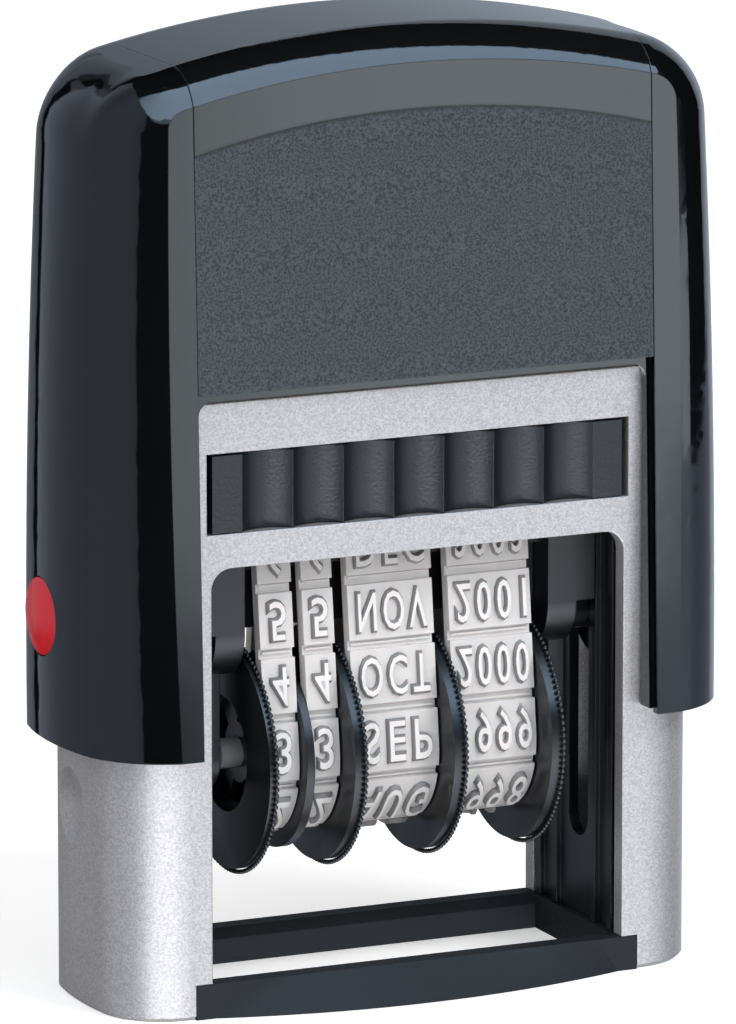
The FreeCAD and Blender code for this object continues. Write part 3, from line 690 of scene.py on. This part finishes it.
@dataclass(frozen=True)
class BeltPath:
    """The middle line of a band: two rounded corners over the platen and a drum below."""

    axle_z: float = 22.3 * MM
    drum: float = 6.8 * MM
    corner: float = 2.0 * MM
    corner_z: float = 42.1 * MM
    half_flat: float = 2.6 * MM
    blocks: int = 12

    def lean(self) -> float:
        """How far the straight runs lean in towards the platen, in radians."""
        rise = self.corner_z - self.axle_z
        apart = math.hypot(self.half_flat, rise)
        return math.asin((self.drum - self.corner) / apart) - math.atan2(self.half_flat, rise)

    def straight(self) -> float:
        """The length of a straight run."""
        apart = math.hypot(self.half_flat, self.corner_z - self.axle_z)
        return math.sqrt(apart**2 - (self.drum - self.corner) ** 2)

    def length(self) -> float:
        """The whole length of the band."""
        turns = self.corner * (math.pi / 2 - self.lean()) + self.drum * (
            math.pi / 2 + self.lean()
        )
        return 2 * (self.half_flat + self.straight() + turns)

    def pitch(self) -> float:
        """From one character block to the next."""
        return self.length() / self.blocks

    def place(self, distance: float) -> tuple[float, float, float]:
        """Finds the point at a distance from the print line, down the front.

        Args:
            distance: metres along the band, up to its whole length.

        Returns:
            Y, Z, and the angle of the outward normal from straight up.
        """
        whole = self.length()
        distance %= whole
        if distance > whole / 2:
            y, z, angle = self.place(whole - distance)
            return -y, z, -angle
        lean = self.lean()
        corner_turn = math.pi / 2 - lean
        if distance < self.half_flat:
            return -distance, self.corner_z + self.corner, 0.0
        distance -= self.half_flat
        if distance < self.corner * corner_turn:
            angle = distance / self.corner
            y = self.half_flat + self.corner * math.sin(angle)
            return -y, self.corner_z + self.corner * math.cos(angle), angle
        distance -= self.corner * corner_turn
        if distance < self.straight():
            y = self.half_flat + self.corner * math.cos(lean) + distance * math.sin(lean)
            z = self.corner_z + self.corner * math.sin(lean) - distance * math.cos(lean)
            return -y, z, corner_turn
        angle = corner_turn + (distance - self.straight()) / self.drum
        return -self.drum * math.sin(angle), self.axle_z + self.drum * math.cos(angle), angle

    def wrap(self, x: float, distance: float, height: float) -> Point:
        """Takes a point on the flat band to its place round the loop.

        Args:
            x: across the band.
            distance: along the band from the print line, down the front.
            height: outwards from the middle line.

        Returns:
            The point.
        """
        y, z, angle = self.place(distance)
        return x, y - height * math.sin(angle), z + height * math.cos(angle)


@dataclass
class CharacterBand:
    """The raised characters of one band, and the thin rules in the grooves between its blocks."""

    name: str
    left: float
    right: float
    words: tuple[str, ...]
    reference: str
    fill: float
    path: BeltPath = field(default_factory=BeltPath)
    # from the middle line to the face of the blocks
    face: float = 0.9 * MM
    capital: float = 4.0 * MM
    spacing: float = 1.3
    raised: float = 0.5 * MM
    sunk: float = 0.12 * MM
    groove: float = 0.35 * MM
    rule: float = 0.22 * MM
    rule_height: float = 0.42 * MM
    # how far a rule stops short of the band's edges, both together
    rule_inset: float = 0.25 * MM
    # in units of the letters' size: what moulding adds round a stroke, the upright part of its
    # sides and the sloped part of them
    swell: float = 0.004
    upright: float = 0.02
    slope: float = 0.046
    # how much wider than the reference a short word may be drawn
    widening: float = 1.12
    # the letters are cut in this many steps so that they can bend round the band
    cuts: int = 7

    def flat_word(self, word: str) -> bpy.types.Mesh:
        """Makes a word as a solid with sloped sides, in units of its own size.

        Args:
            word: the characters.

        Returns:
            The mesh, with Z towards the printing face.
        """
        curve = bpy.data.curves.new("word", "FONT")
        curve.body = word
        curve.size = 1.0
        curve.resolution_u = 3
        curve.space_character = self.spacing
        curve.offset = self.swell
        curve.extrude = self.upright
        curve.bevel_depth = self.slope
        curve.bevel_resolution = 0
        return mesh_of_curve("word", curve)

    def extent(self, mesh: bpy.types.Mesh, axis: int) -> tuple[float, float]:
        """The lowest and highest coordinate of a mesh along an axis."""
        values = [vertex.co[axis] for vertex in mesh.vertices]
        return min(values), max(values)

    def build(self, wardrobe: Wardrobe) -> bpy.types.Object:
        """Builds the characters of every block as one piece.

        Args:
            wardrobe: the finishes.

        Returns:
            The piece.
        """
        low, high = self.extent(self.flat_word("H"), 1)
        tall = self.capital / (high - low)
        middle = (low + high) / 2
        left, right = self.extent(self.flat_word(self.reference), 0)
        room = self.fill * (self.right - self.left)
        widest = room / (right - left)
        centre = (self.left + self.right) / 2
        joined = bmesh.new()
        for number, word in enumerate(self.words):
            mesh = self.flat_word(word)
            left, right = self.extent(mesh, 0)
            below, above = self.extent(mesh, 2)
            wide = min(widest * self.widening, room / (right - left))
            # twice, as only the upper half of the letter is raised
            upward = 2 * self.raised / (above - below)
            part = bmesh.new()
            part.from_mesh(mesh)
            bmesh.ops.remove_doubles(part, verts=part.verts, dist=1e-6)
            for cut in range(-(self.cuts // 2), self.cuts // 2 + 1):
                level = middle + cut * (high - low) / self.cuts
                bmesh.ops.bisect_plane(
                    part,
                    geom=part.verts[:] + part.edges[:] + part.faces[:],
                    plane_co=(0, level, 0),
                    plane_no=(0, 1, 0),
                )
            for face in part.faces:
                # the tops take the whiter colour of painted highlight, the sloped sides the greyer
                # colour of painted shade
                face.material_index = int(face.normal.z > 0.9)
            for vertex in part.verts:
                x = centre + (vertex.co.x - (left + right) / 2) * wide
                along = number * self.path.pitch() + (vertex.co.y - middle) * tall
                # the lower half of the letter is under the block's face
                height = self.face + self.raised + (vertex.co.z - above) * upward
                height = max(height, self.face - self.sunk)
                vertex.co = self.path.wrap(x, along, height)
            # wrapping turns the letters over, as in a mirror
            bmesh.ops.reverse_faces(part, faces=part.faces)
            part.to_mesh(mesh)
            part.free()
            joined.from_mesh(mesh)
            bpy.data.meshes.remove(mesh)
        mesh = bpy.data.meshes.new(f"characters_{self.name}")
        joined.to_mesh(mesh)
        joined.free()
        mesh.materials.append(wardrobe.get("character_side"))
        mesh.materials.append(wardrobe.get("character_face"))
        return finish_piece(new_piece(mesh.name, mesh), Body.CARRIAGE)

    def build_rules(self, wardrobe: Wardrobe) -> bpy.types.Object:
        """Builds the thin rule that stands in each groove, by Geometry Nodes.

        Args:
            wardrobe: the finishes.

        Returns:
            The piece.
        """
        steps = 240
        length = self.path.length()
        half = 0.5 * length / steps
        points = [
            self.path.wrap(0.0, step * length / steps + half, self.groove)
            for step in range(steps)
        ]
        start = bpy.data.meshes.new("belt_line")
        edges = [(step, (step + 1) % steps) for step in range(steps)]
        start.from_pydata(points, edges, [])
        values = {
            "Count": self.path.blocks,
            "Offset": (self.path.pitch() / 2 - half) / length,
            "Centre": (self.left + self.right) / 2,
            "Width": self.right - self.left - self.rule_inset,
            "Thickness": self.rule,
            "Height": self.rule_height,
            "Material": wardrobe.get("band_rubber"),
        }
        piece = baked_nodes(f"groove_rules_{self.name}", start, rule_tree(), values)
        return finish_piece(piece, Body.CARRIAGE)


def rule_tree() -> bpy.types.NodeTree:
    """Builds the tree that sets one thin bar in each groove along a closed line.

    Returns:
        The Geometry Nodes tree.
    """
    kinds = {"Count": "Int", "Material": "Material"}
    kinds.update(dict.fromkeys(("Offset", "Centre", "Width", "Thickness", "Height"), "Float"))
    tree = group_tree("rules_along_belt", kinds)
    given = add_node(tree, "NodeGroupInput").outputs
    line = add_node(tree, "GeometryNodeMeshToCurve", inputs={"Mesh": given["Geometry"]})
    number = add_node(tree, "GeometryNodeInputIndex").outputs["Index"]
    share = calculate(tree, "DIVIDE", number, given["Count"])
    sample = add_node(
        tree,
        "GeometryNodeSampleCurve",
        {"mode": "FACTOR"},
        {
            "Curves": line.outputs["Curve"],
            "Factor": calculate(tree, "ADD", share, given["Offset"]),
        },
    )
    turn = add_node(
        tree,
        "FunctionNodeAxesToRotation",
        {"primary_axis": "Y", "secondary_axis": "X"},
        {"Primary Axis": sample.outputs["Tangent"], "Secondary Axis": (1.0, 0.0, 0.0)},
    )
    size = add_node(
        tree,
        "ShaderNodeCombineXYZ",
        inputs={"X": given["Width"], "Y": given["Thickness"], "Z": given["Height"]},
    )
    bar = add_node(
        tree,
        "GeometryNodeMeshCube",
        inputs={
            "Size": size.outputs["Vector"], "Vertices X": 6, "Vertices Y": 2, "Vertices Z": 2
        },
    )
    bars = instances(
        tree,
        given,
        sample.outputs["Position"],
        bar.outputs["Mesh"],
        Rotation=turn.outputs["Rotation"],
    )
    across = add_node(tree, "ShaderNodeCombineXYZ", inputs={"X": given["Centre"]})
    moved = add_node(
        tree,
        "GeometryNodeSetPosition",
        inputs={"Geometry": bars, "Offset": across.outputs["Vector"]},
    )
    return end_group(tree, given, moved.outputs["Geometry"])


def bead_tree() -> bpy.types.NodeTree:
    """Builds the tree that sets a row of beads round a rim.

    Returns:
        The Geometry Nodes tree.
    """
    kinds = {"Count": "Int", "Material": "Material"}
    kinds.update(dict.fromkeys(("Axle Z", "Ring", "Row", "Bead"), "Float"))
    tree = group_tree("beads_on_rim", kinds)
    given = add_node(tree, "NodeGroupInput").outputs
    number = add_node(tree, "GeometryNodeInputIndex").outputs["Index"]
    share = calculate(tree, "DIVIDE", number, given["Count"])
    angle = calculate(tree, "MULTIPLY", share, 2 * math.pi)
    sine = calculate(tree, "SINE", angle)
    cosine = calculate(tree, "COSINE", angle)
    place = add_node(
        tree,
        "ShaderNodeCombineXYZ",
        inputs={
            "X": given["Row"],
            "Y": calculate(tree, "MULTIPLY", sine, given["Ring"]),
            "Z": calculate(tree, "MULTIPLY_ADD", cosine, given["Ring"], given["Axle Z"]),
        },
    )
    bead = add_node(
        tree, "GeometryNodeMeshIcoSphere", inputs={"Radius": given["Bead"], "Subdivisions": 2}
    )
    smooth = add_node(
        tree,
        "GeometryNodeSetShadeSmooth",
        inputs={"Geometry": bead.outputs["Mesh"], "Shade Smooth": True},
    )
    beads = instances(tree, given, place.outputs["Vector"], smooth.outputs["Geometry"])
    return end_group(tree, given, beads)


@dataclass
class ThumbWheel:
    """One serrated wheel: a rim with a row of small beads that the thumb turns."""

    name: str
    rim_right: float
    body: Body
    radius: float = 11.35 * MM
    axle_z: float = 22.3 * MM
    # everything further out than this is rim
    web_reach: float = 10.0 * MM
    root: float = 10.8 * MM
    beads: int = 120
    bead: float = 0.24 * MM
    sharp: float = math.radians(30)

    def build(self, wardrobe: Wardrobe) -> None:
        """Builds the wheel with its smooth rim, and the row of beads round it.

        Args:
            wardrobe: the finishes.
        """
        self.build_disc(wardrobe)
        self.build_beads(wardrobe)

    def build_disc(self, wardrobe: Wardrobe) -> bpy.types.Object:
        """Makes the wheel again with a smooth rim in place of the coarse teeth.

        Args:
            wardrobe: the finishes.

        Returns:
            The piece, which stands for the CAD wheel.
        """
        node = f"wheel_{self.name}"
        shape = bmesh.new()
        shape.from_mesh(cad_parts[node].data)
        bmesh.ops.remove_doubles(shape, verts=shape.verts, dist=1e-7)
        for vertex in shape.verts:
            up = vertex.co.z - self.axle_z
            reach = math.hypot(vertex.co.y, up)
            if reach > self.web_reach:
                share = self.root / reach
                vertex.co.y *= share
                vertex.co.z = self.axle_z + up * share
        bmesh.ops.recalc_face_normals(shape, faces=shape.faces)
        for face in shape.faces:
            face.smooth = True
            face.material_index = 0
        for edge in shape.edges:
            edge.smooth = edge.is_manifold and edge.calc_face_angle() < self.sharp
        mesh = bpy.data.meshes.new(f"smooth_rim_{node}")
        shape.to_mesh(mesh)
        shape.free()
        mesh.materials.append(wardrobe.get("wheel_plastic"))
        piece = new_piece(mesh.name, mesh)
        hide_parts(node)
        return finish_piece(piece, self.body)

    def build_beads(self, wardrobe: Wardrobe) -> bpy.types.Object:
        """Builds the row of beads round the rim.

        Args:
            wardrobe: the finishes.

        Returns:
            The piece.
        """
        values = {
            "Count": self.beads,
            "Axle Z": self.axle_z,
            "Ring": self.radius - self.bead,
            "Row": self.rim_right - self.bead,
            "Bead": self.bead,
            "Material": wardrobe.get("wheel_plastic"),
        }
        rim = bpy.data.meshes.new("rim")
        piece = baked_nodes(f"rim_beads_{self.name}", rim, bead_tree(), values)
        return finish_piece(piece, self.body)


@dataclass
class DateMechanism:
    """The carriage with its bands, wheels and axle."""

    edges: tuple[tuple[str, float, float, str, float], ...] = (
        ("day_tens", -14.3, -10.9, "0", 0.62),
        ("day_units", -9.9, -6.81, "0", 0.68),
        ("month", -5.31, 3.3, "SEP", 0.86),
        ("year", 4.9, 13.3, "2000", 0.9),
    )
    rims: tuple[tuple[str, float, Body], ...] = (
        ("day_tens", -14.46, Body.DAY_TENS),
        ("day_units", -5.465, Body.DAY_UNITS),
        ("month", 4.74, Body.MONTH),
        ("year", 14.735, Body.YEAR),
    )
    # round each band from the print line, down the front
    digits: tuple[str, ...] = tuple("76543210--98")
    months: tuple[str, ...] = tuple("JAN DEC NOV OCT SEP AUG JUL JUN MAY APR MAR FEB".split())
    years: tuple[str, ...] = tuple(str(2003 - number) for number in range(12))
    # the letters keep this far from the edges of a band, in millimetres
    margin: float = 0.1

    def build(self, wardrobe: Wardrobe) -> None:
        """Builds the characters, the rules and the beads.

        Args:
            wardrobe: the finishes.
        """
        words = {
            "day_tens": self.digits,
            "day_units": self.digits,
            "month": self.months,
            "year": self.years,
        }
        for name, left, right, reference, fill in self.edges:
            inner = ((left + self.margin) * MM, (right - self.margin) * MM)
            band = CharacterBand(name, *inner, words[name], reference, fill)
            band.build(wardrobe)
            band.build_rules(wardrobe)
        for name, right, body in self.rims:
            ThumbWheel(name, right * MM, body).build(wardrobe)

    def dress(self, wardrobe: Wardrobe) -> None:
        """Gives the mechanism's nodes their finishes.

        Args:
            wardrobe: the finishes.
        """
        for name in ("day_tens", "day_units", "month", "year"):
            wardrobe.dress(f"band_{name}", "band_rubber")
        for name in ("carriage_plate_left", "carriage_plate_right", "platen"):
            wardrobe.dress(name, "black_plastic")
        for name in ("pivot_pin_left", "pivot_pin_right", "divider_disc"):
            wardrobe.dress(name, "black_plastic")
        wardrobe.dress("wheel_axle", "axle_grey")


@dataclass
class InkCassette:
    """The fluted cassette and the felt pad in it."""

    half_width: float = 19.25 * MM
    half_depth: float = 8.1 * MM
    low: float = 45.7 * MM
    high: float = 50.5 * MM
    round: float = 0.9 * MM
    crown: float = 0.12 * MM

    def build(self, wardrobe: Wardrobe) -> bpy.types.Object:
        """Builds the felt pad: rounded edges, and a face that swells a little with ink.

        Args:
            wardrobe: the finishes.

        Returns:
            The piece.
        """
        shape = bmesh.new()
        bmesh.ops.create_cube(shape, size=1.0)
        size = Vector((2 * self.half_width, 2 * self.half_depth, self.high - self.low))
        middle = (self.low + self.high) / 2
        for vertex in shape.verts:
            vertex.co = Vector(
                (vertex.co.x * size.x, vertex.co.y * size.y, vertex.co.z * size.z + middle)
            )
        bmesh.ops.bevel(
            shape,
            geom=shape.edges[:] + shape.verts[:],
            offset=self.round,
            segments=4,
            profile=0.5,
            affect="EDGES",
        )
        for step in range(-11, 12):
            self.cut(shape, (step * self.half_width / 12, 0, 0), (1, 0, 0))
        for step in range(-4, 5):
            self.cut(shape, (0, step * self.half_depth / 5, 0), (0, 1, 0))
        for vertex in shape.verts:
            across = 1 - (vertex.co.x / self.half_width) ** 2
            along = 1 - (vertex.co.y / self.half_depth) ** 2
            sag = self.crown * max(across, 0.0) * max(along, 0.0)
            if vertex.co.z < middle:
                vertex.co.z += self.crown - sag
        for face in shape.faces:
            face.smooth = True
        mesh = bpy.data.meshes.new("ink_felt_pad")
        shape.to_mesh(mesh)
        shape.free()
        mesh.materials.append(wardrobe.get("ink_felt"))
        piece = new_piece("ink_felt_pad", mesh)
        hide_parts("ink_pad")
        finish_piece(piece, Body.PAD)
        return piece

    def cut(self, shape: bmesh.types.BMesh, place: Point, way: Point) -> None:
        """Cuts the mesh along a plane so that it can swell."""
        geometry = shape.verts[:] + shape.edges[:] + shape.faces[:]
        bmesh.ops.bisect_plane(shape, geom=geometry, plane_co=place, plane_no=way)

    def dress(self, wardrobe: Wardrobe) -> None:
        """Gives the cassette its finish."""
        wardrobe.dress("pad_cassette", "black_eroded")


@dataclass
class ReturnSpring:
    """The coil spring under the yoke, which the cap presses shorter."""

    radius: float = 4.4 * MM
    wire: float = 0.7 * MM
    turns: int = 6
    steps: int = 32
    stroke: float = 20.0 * MM

    def build(self, wardrobe: Wardrobe) -> bpy.types.Object:
        """Builds the coil at the length of the CAD spring and lets it ride on the base.

        Args:
            wardrobe: the finishes.

        Returns:
            The piece.
        """
        low, high = (corner[2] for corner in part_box("return_spring"))
        climb = high - low - self.wire
        curve = bpy.data.curves.new("coil", "CURVE")
        curve.dimensions = "3D"
        curve.bevel_depth = self.wire / 2
        curve.bevel_resolution = 2
        curve.use_fill_caps = True
        line = curve.splines.new("POLY")
        last = self.turns * self.steps
        line.points.add(last)
        for number, point in enumerate(line.points):
            turn = 2 * math.pi * number / self.steps
            point.co = (
                self.radius * math.cos(turn),
                self.radius * math.sin(turn),
                low + self.wire / 2 + climb * number / last,
                1.0,
            )
        mesh = mesh_of_curve("coil", curve)
        for face in mesh.polygons:
            face.use_smooth = True
        mesh.materials.clear()
        mesh.materials.append(wardrobe.get("steel_wire"))
        piece = new_piece("wound_return_spring", mesh)
        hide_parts("return_spring")
        finish_piece(piece, Body.BASE)
        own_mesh(piece)
        return piece


@dataclass
class Housing:
    """The frame, the foot, the guide plates, the yoke, the cap with its cover, and the buttons."""

    finishes: tuple[tuple[str, str], ...] = (
        ("base_frame", "frame_paint"),
        ("foot_frame", "foot_plastic"),
        ("guide_plate_left", "black_plastic"),
        ("guide_plate_right", "black_plastic"),
        ("yoke", "black_plastic"),
        ("cap_shell", "cap_gloss"),
        ("label_cover", "cover_grain"),
        ("lock_button_left", "button_red"),
        ("lock_button_right", "button_red"),
    )

    def dress(self, wardrobe: Wardrobe) -> None:
        """Gives the housing's nodes their finishes."""
        for node, finish in self.finishes:
            wardrobe.dress(node, finish)


class Station(NamedTuple):
    """One upright edge of a board, in degrees, with how bright the board is there."""

    azimuth: float
    low: float
    high: float
    glow: float


@dataclass(frozen=True)
class Board:
    """A board that the gloss mirrors, by the angles that it fills seen from the stamp.

    Azimuths run in degrees from the front towards the left, and elevations from the floor up.
    """

    name: str
    stations: tuple[Station, ...]
    tint: str = "#ffffff"
    # far away, so that every part of the stamp sees it at the same angles
    distance: float = 30.0
    rows: int = 8
    # the widest step between two columns of corners, in degrees
    column: float = 6.0

    def patch(self) -> tuple[list[Point], list[tuple[int, ...]], list[float]]:
        """Makes the curved patch.

        Returns:
            Its corners, its faces and the glow at each corner.
        """
        columns = [self.stations[0]]
        for last, following in zip(self.stations, self.stations[1:]):
            steps = max(1, math.ceil(abs(following.azimuth - last.azimuth) / self.column))
            for step in range(1, steps + 1):
                share = step / steps
                mixed = (one + share * (two - one) for one, two in zip(last, following))
                columns.append(Station(*mixed))
        corners = []
        glows = []
        for station in columns:
            turn = math.radians(station.azimuth)
            for up in range(self.rows + 1):
                height = station.low + up / self.rows * (station.high - station.low)
                tilt = math.radians(height)
                flat = self.distance * math.cos(tilt)
                across = (-flat * math.sin(turn), -flat * math.cos(turn))
                corners.append((*across, self.distance * math.sin(tilt)))
                glows.append(station.glow)
        row = self.rows + 1
        faces = [
            (first, first + 1, first + row + 1, first + row)
            for column in range(len(columns) - 1)
            for first in range(column * row, column * row + self.rows)
        ]
        return corners, faces, glows


def stations(*edges: tuple[float, float, float, float]) -> tuple[Station, ...]:
    """The stations of a board from their four numbers each."""
    return tuple(Station(*edge) for edge in edges)


@dataclass
class Studio:
    """The camera, the white floor, the plain light, and the boards that the gloss mirrors."""

    azimuth: float = 24.678689691227905
    elevation: float = 11.954587411467134
    distance: float = 0.9
    lens: float = 340.87
    aim: Point = (-0.43929 * MM, 0.0, 43.81899 * MM)
    # the strength of the white world where it only lights the stamp
    daylight: float = 0.62
    # a little under the paper's height, so that the foot doesn't flicker with it
    floor_z: float = -0.02 * MM
    floor_width: float = 8.0
    # the floor's own light, which makes it white where it is seen
    floor_lift: float = 0.39
    boards: tuple[Board, ...] = (
        Board("dark_room", stations((-180, -50, 89, 0), (180, -50, 89, 0)), distance=36.0),
        Board(
            "front_board",
            stations(
                (-50, -7.75, -3, 3.2), (-26.27, -7.75, -3, 3.6), (-26.17, -8.4, -3, 3.6),
                (-26.12, -8.75, -3, 3.6), (-25, -8.85, -3, 3.8), (-23.9, -8.9, -3, 3.6),
                (-23.3, -8.9, -3, 2.7), (-22.3, -8.9, -3, 2.2),
            ),
            "#ebf8ff",
        ),
        Board(
            "front_low_board",
            stations((-50, -14, -7, 1.5), (-23.3, -14, -7, 1.5)),
            "#dce9ff",
            distance=32.0,
        ),
        # under what the cap mirrors: it lights only the satin pieces, from the left
        Board(
            "left_table_board",
            stations(
                (-40, -60, -17, 1.0), (-22, -60, -17, 4.0), (-5, -60, -17, 9.0),
                (75, -60, -17, 9.0),
            ),
            "#eef3ff",
        ),
        Board(
            "front_floor_board",
            stations((-50, -60, -13, 2.0), (-20, -60, -13, 2.0)),
            "#f2f6ff",
            distance=31.0,
        ),
        Board(
            "left_board",
            stations(
                (40.5, -1, 29, 0.5), (43, -4, 34, 0.58), (47.5, -6, 38, 0.6), (48, -60, 39, 0.6),
                (58, -60, 46, 0.7), (73, -60, 56.5, 0.72), (90, -60, 61.5, 0.69),
                (104, -60, 61.5, 0.65), (116, -60, 61.5, 0.56), (126, -17, 61.5, 0.5),
                (138, -16, 61, 0.41), (148, -16, 58, 0.41), (156, -16, 54, 0.46),
                (163, -16, 50, 0.55), (167, -16, 47, 0.64), (168.3, 17, 46, 0.6),
                (170, 24, 45, 0.5), (172.5, 27, 44, 0.45), (176, 28, 42, 0.42),
            ),
            "#dce7ff",
        ),
        Board(
            "back_board",
            stations(
                (171.5, -60, 7, 0.24), (173, -60, 13, 0.27), (175, -60, 17, 0.3),
                (178, -60, 20, 0.32), (181, -60, 22.5, 0.3), (183, -60, 25, 0.3),
                (186, -60, 26.5, 0.3), (188, -60, 26.5, 0.31), (190, -60, 25, 0.33),
                (194, -60, 22.5, 0.38), (196, -60, 21.5, 0.42), (198.5, -60, 20.5, 0.47),
                (200.2, -60, 23, 0.49), (203, -60, 29, 0.49), (207, -60, 29, 0.5),
                (213, -60, 35, 0.58), (224, -60, 39.5, 0.8), (231, -60, 41, 0.9),
                (243, -9.5, 44, 0.9), (251, -9.5, 40, 0.6),
            ),
            "#dfedff",
        ),
        Board(
            "back_soft_board",
            stations(
                (169, 19, 25, 0.25), (173, 19, 24, 0.22), (175.3, 18.5, 22.5, 0.2),
                (176.5, 20, 24, 0.08), (180, 22, 28, 0.07), (183, 25, 28, 0.1),
                (186, 26.5, 29, 0.12), (190, 25, 28, 0.1),
            ),
            "#dfedff",
            distance=29.0,
        ),
        Board(
            "right_board",
            stations((-69.5, -9.1, -7.4, 2.4), (-62, -9.1, -6.9, 3.0), (-50, -9.1, -6.7, 3.0)),
            "#e0ecff",
        ),
        Board(
            "right_low_board",
            stations(
                (-130, -60, -9.5, 0.54), (-90, -60, -9.7, 0.56), (-82, -60, -9.7, 0.68),
                (-76, -60, -9.6, 0.8), (-70, -60, -9.3, 1.1), (-64, -60, -9, 1.3),
                (-50, -60, -9, 1.55),
            ),
            "#d7e5ff",
            distance=31.0,
        ),
        Board(
            "softbox",
            stations(
                (-50, 27, 45, 5.9), (-48, 27, 66, 5.9), (-45, 27, 76, 6.0),
                (-25, 26.5, 79.5, 6.0), (-10, 26, 80.3, 6.0), (0, 18, 80.2, 5.9),
                (12, 17, 80, 5.8), (22, 17, 79.8, 5.5), (33, 23, 79.3, 5.2),
                (42.5, 33, 78.8, 4.6), (56, 45, 77.2, 4.2), (73, 56.5, 73, 3.4),
                (88, 61, 63, 2.6),
            ),
            "#c3e0ff",
        ),
        Board(
            "softbox_skirt",
            stations(
                (-8, 20, 24, 1.9), (4, 9.5, 18, 1.9), (20, 9.5, 17, 1.9), (26, 12, 19, 1.8),
                (33, 21, 23, 1.7),
            ),
            "#c3e0ff",
        ),
    )

    def build_camera(self) -> None:
        """Places the camera at the photograph's angle."""
        turn = math.radians(self.azimuth)
        tilt = math.radians(self.elevation)
        flat = math.cos(tilt)
        forward = Vector((math.sin(turn) * flat, math.cos(turn) * flat, -math.sin(tilt)))
        data = bpy.data.cameras.new("camera")
        data.lens = self.lens
        data.sensor_width = 36.0
        data.sensor_fit = "AUTO"
        data.clip_start = 0.01
        data.clip_end = 50.0
        camera = bpy.data.objects.new("camera", data)
        bpy.context.scene.collection.objects.link(camera)
        camera.location = Vector(self.aim) - forward * self.distance
        camera.rotation_euler = forward.to_track_quat("-Z", "Y").to_euler()
        bpy.context.scene.camera = camera

    def build_world(self) -> None:
        """Makes the background white and the light that it gives plain."""
        world = bpy.data.worlds.new("studio")
        tree = blank_tree(world)
        strength = remap(tree, seen_directly(tree), (self.daylight, 1.0))
        light = add_node(
            tree,
            "ShaderNodeBackground",
            inputs={"Color": linear("#ffffff"), "Strength": strength},
        )
        add_node(tree, "ShaderNodeOutputWorld", inputs={"Surface": light.outputs[0]})
        bpy.context.scene.world = world

    def build_floor(self) -> None:
        """Lays the white floor."""
        material = bpy.data.materials.new("white_floor")
        tree = blank_tree(material)
        matt = add_node(tree, "ShaderNodeBsdfDiffuse", inputs={"Color": linear("#f4f4f4")})
        lift = remap(tree, seen_directly(tree), (0.0, self.floor_lift))
        glow = add_node(
            tree, "ShaderNodeEmission", inputs={"Color": linear("#ffffff"), "Strength": lift}
        )
        both = add_node(
            tree, "ShaderNodeAddShader", inputs={0: matt.outputs[0], 1: glow.outputs[0]}
        )
        surface(material, tree, both)
        half = self.floor_width / 2
        corners = [(-half, -half), (half, -half), (half, half), (-half, half)]
        mesh = bpy.data.meshes.new("floor")
        mesh.from_pydata([(x, y, self.floor_z) for x, y in corners], [], [(0, 1, 2, 3)])
        mesh.materials.append(material)
        card = new_piece("floor", mesh)
        # the gloss sees the boards and the white world through the floor
        card.visible_glossy = False
    def build_board(self, board: Board) -> None:
        """Stands one board that only the gloss sees.

        Args:
            board: the board.
        """
        material = bpy.data.materials.new(board.name)
        tree = blank_tree(material)
        strength = add_node(tree, "ShaderNodeAttribute", {"attribute_name": "glow"})
        glow = add_node(
            tree,
            "ShaderNodeEmission",
            inputs={"Color": linear(board.tint), "Strength": strength.outputs["Fac"]},
        )
        surface(material, tree, glow)
        corners, faces, glows = board.patch()
        mesh = bpy.data.meshes.new(board.name)
        mesh.from_pydata(corners, [], faces)
        mesh.attributes.new("glow", "FLOAT", "POINT").data.foreach_set("value", glows)
        mesh.materials.append(material)
        piece = new_piece(board.name, mesh)
        piece.visible_camera = False
        piece.visible_diffuse = False
        piece.visible_shadow = False
        piece.visible_transmission = False

    def build_lamp(self, name: str, place: Point, size: float, power: float) -> None:
        """Hangs a soft square lamp that points at the stamp.

        Args:
            name: the lamp's name.
            place: where it hangs.
            size: the length of its sides.
            power: watts.
        """
        data = bpy.data.lights.new(name, "AREA")
        data.size = size
        data.energy = power
        lamp = bpy.data.objects.new(name, data)
        bpy.context.scene.collection.objects.link(lamp)
        lamp.location = place
        lamp.visible_glossy = False
        way = Vector(self.aim) - Vector(place)
        lamp.rotation_euler = way.to_track_quat("-Z", "Y").to_euler()

    def build(self) -> None:
        """Builds the whole studio."""
        self.build_camera()
        self.build_world()
        self.build_floor()
        self.build_lamp("key_lamp", (0.45, -0.75, 0.75), 0.5, 6.0)
        self.build_lamp("fill_lamp", (-0.7, -0.5, 0.5), 0.6, 2.0)
        for board in self.boards:
            self.build_board(board)
        LOG.info("studio ready")


def seen_directly(tree: bpy.types.NodeTree) -> bpy.types.NodeSocket:
    """One where the camera, a reflection or a clear piece shows the background, else zero."""
    path = add_node(tree, "ShaderNodeLightPath").outputs
    shown = calculate(tree, "MAXIMUM", path["Is Camera Ray"], path["Is Glossy Ray"])
    return calculate(tree, "MAXIMUM", shown, path["Is Transmission Ray"])


def main() -> None:
    """Builds and dresses the stamp, sub-assembly by sub-assembly."""
    logging.basicConfig(level=logging.INFO, format="%(name)s: %(message)s")
    bpy.context.scene.view_settings.view_transform = "Standard"
    wardrobe = Wardrobe(Finishes())
    housing = Housing()
    housing.dress(wardrobe)
    ReturnSpring().build(wardrobe)
    cassette = InkCassette()
    cassette.dress(wardrobe)
    cassette.build(wardrobe)
    mechanism = DateMechanism()
    mechanism.dress(wardrobe)
    mechanism.build(wardrobe)
    Studio().build()


if __name__ == "__main__":
    main()
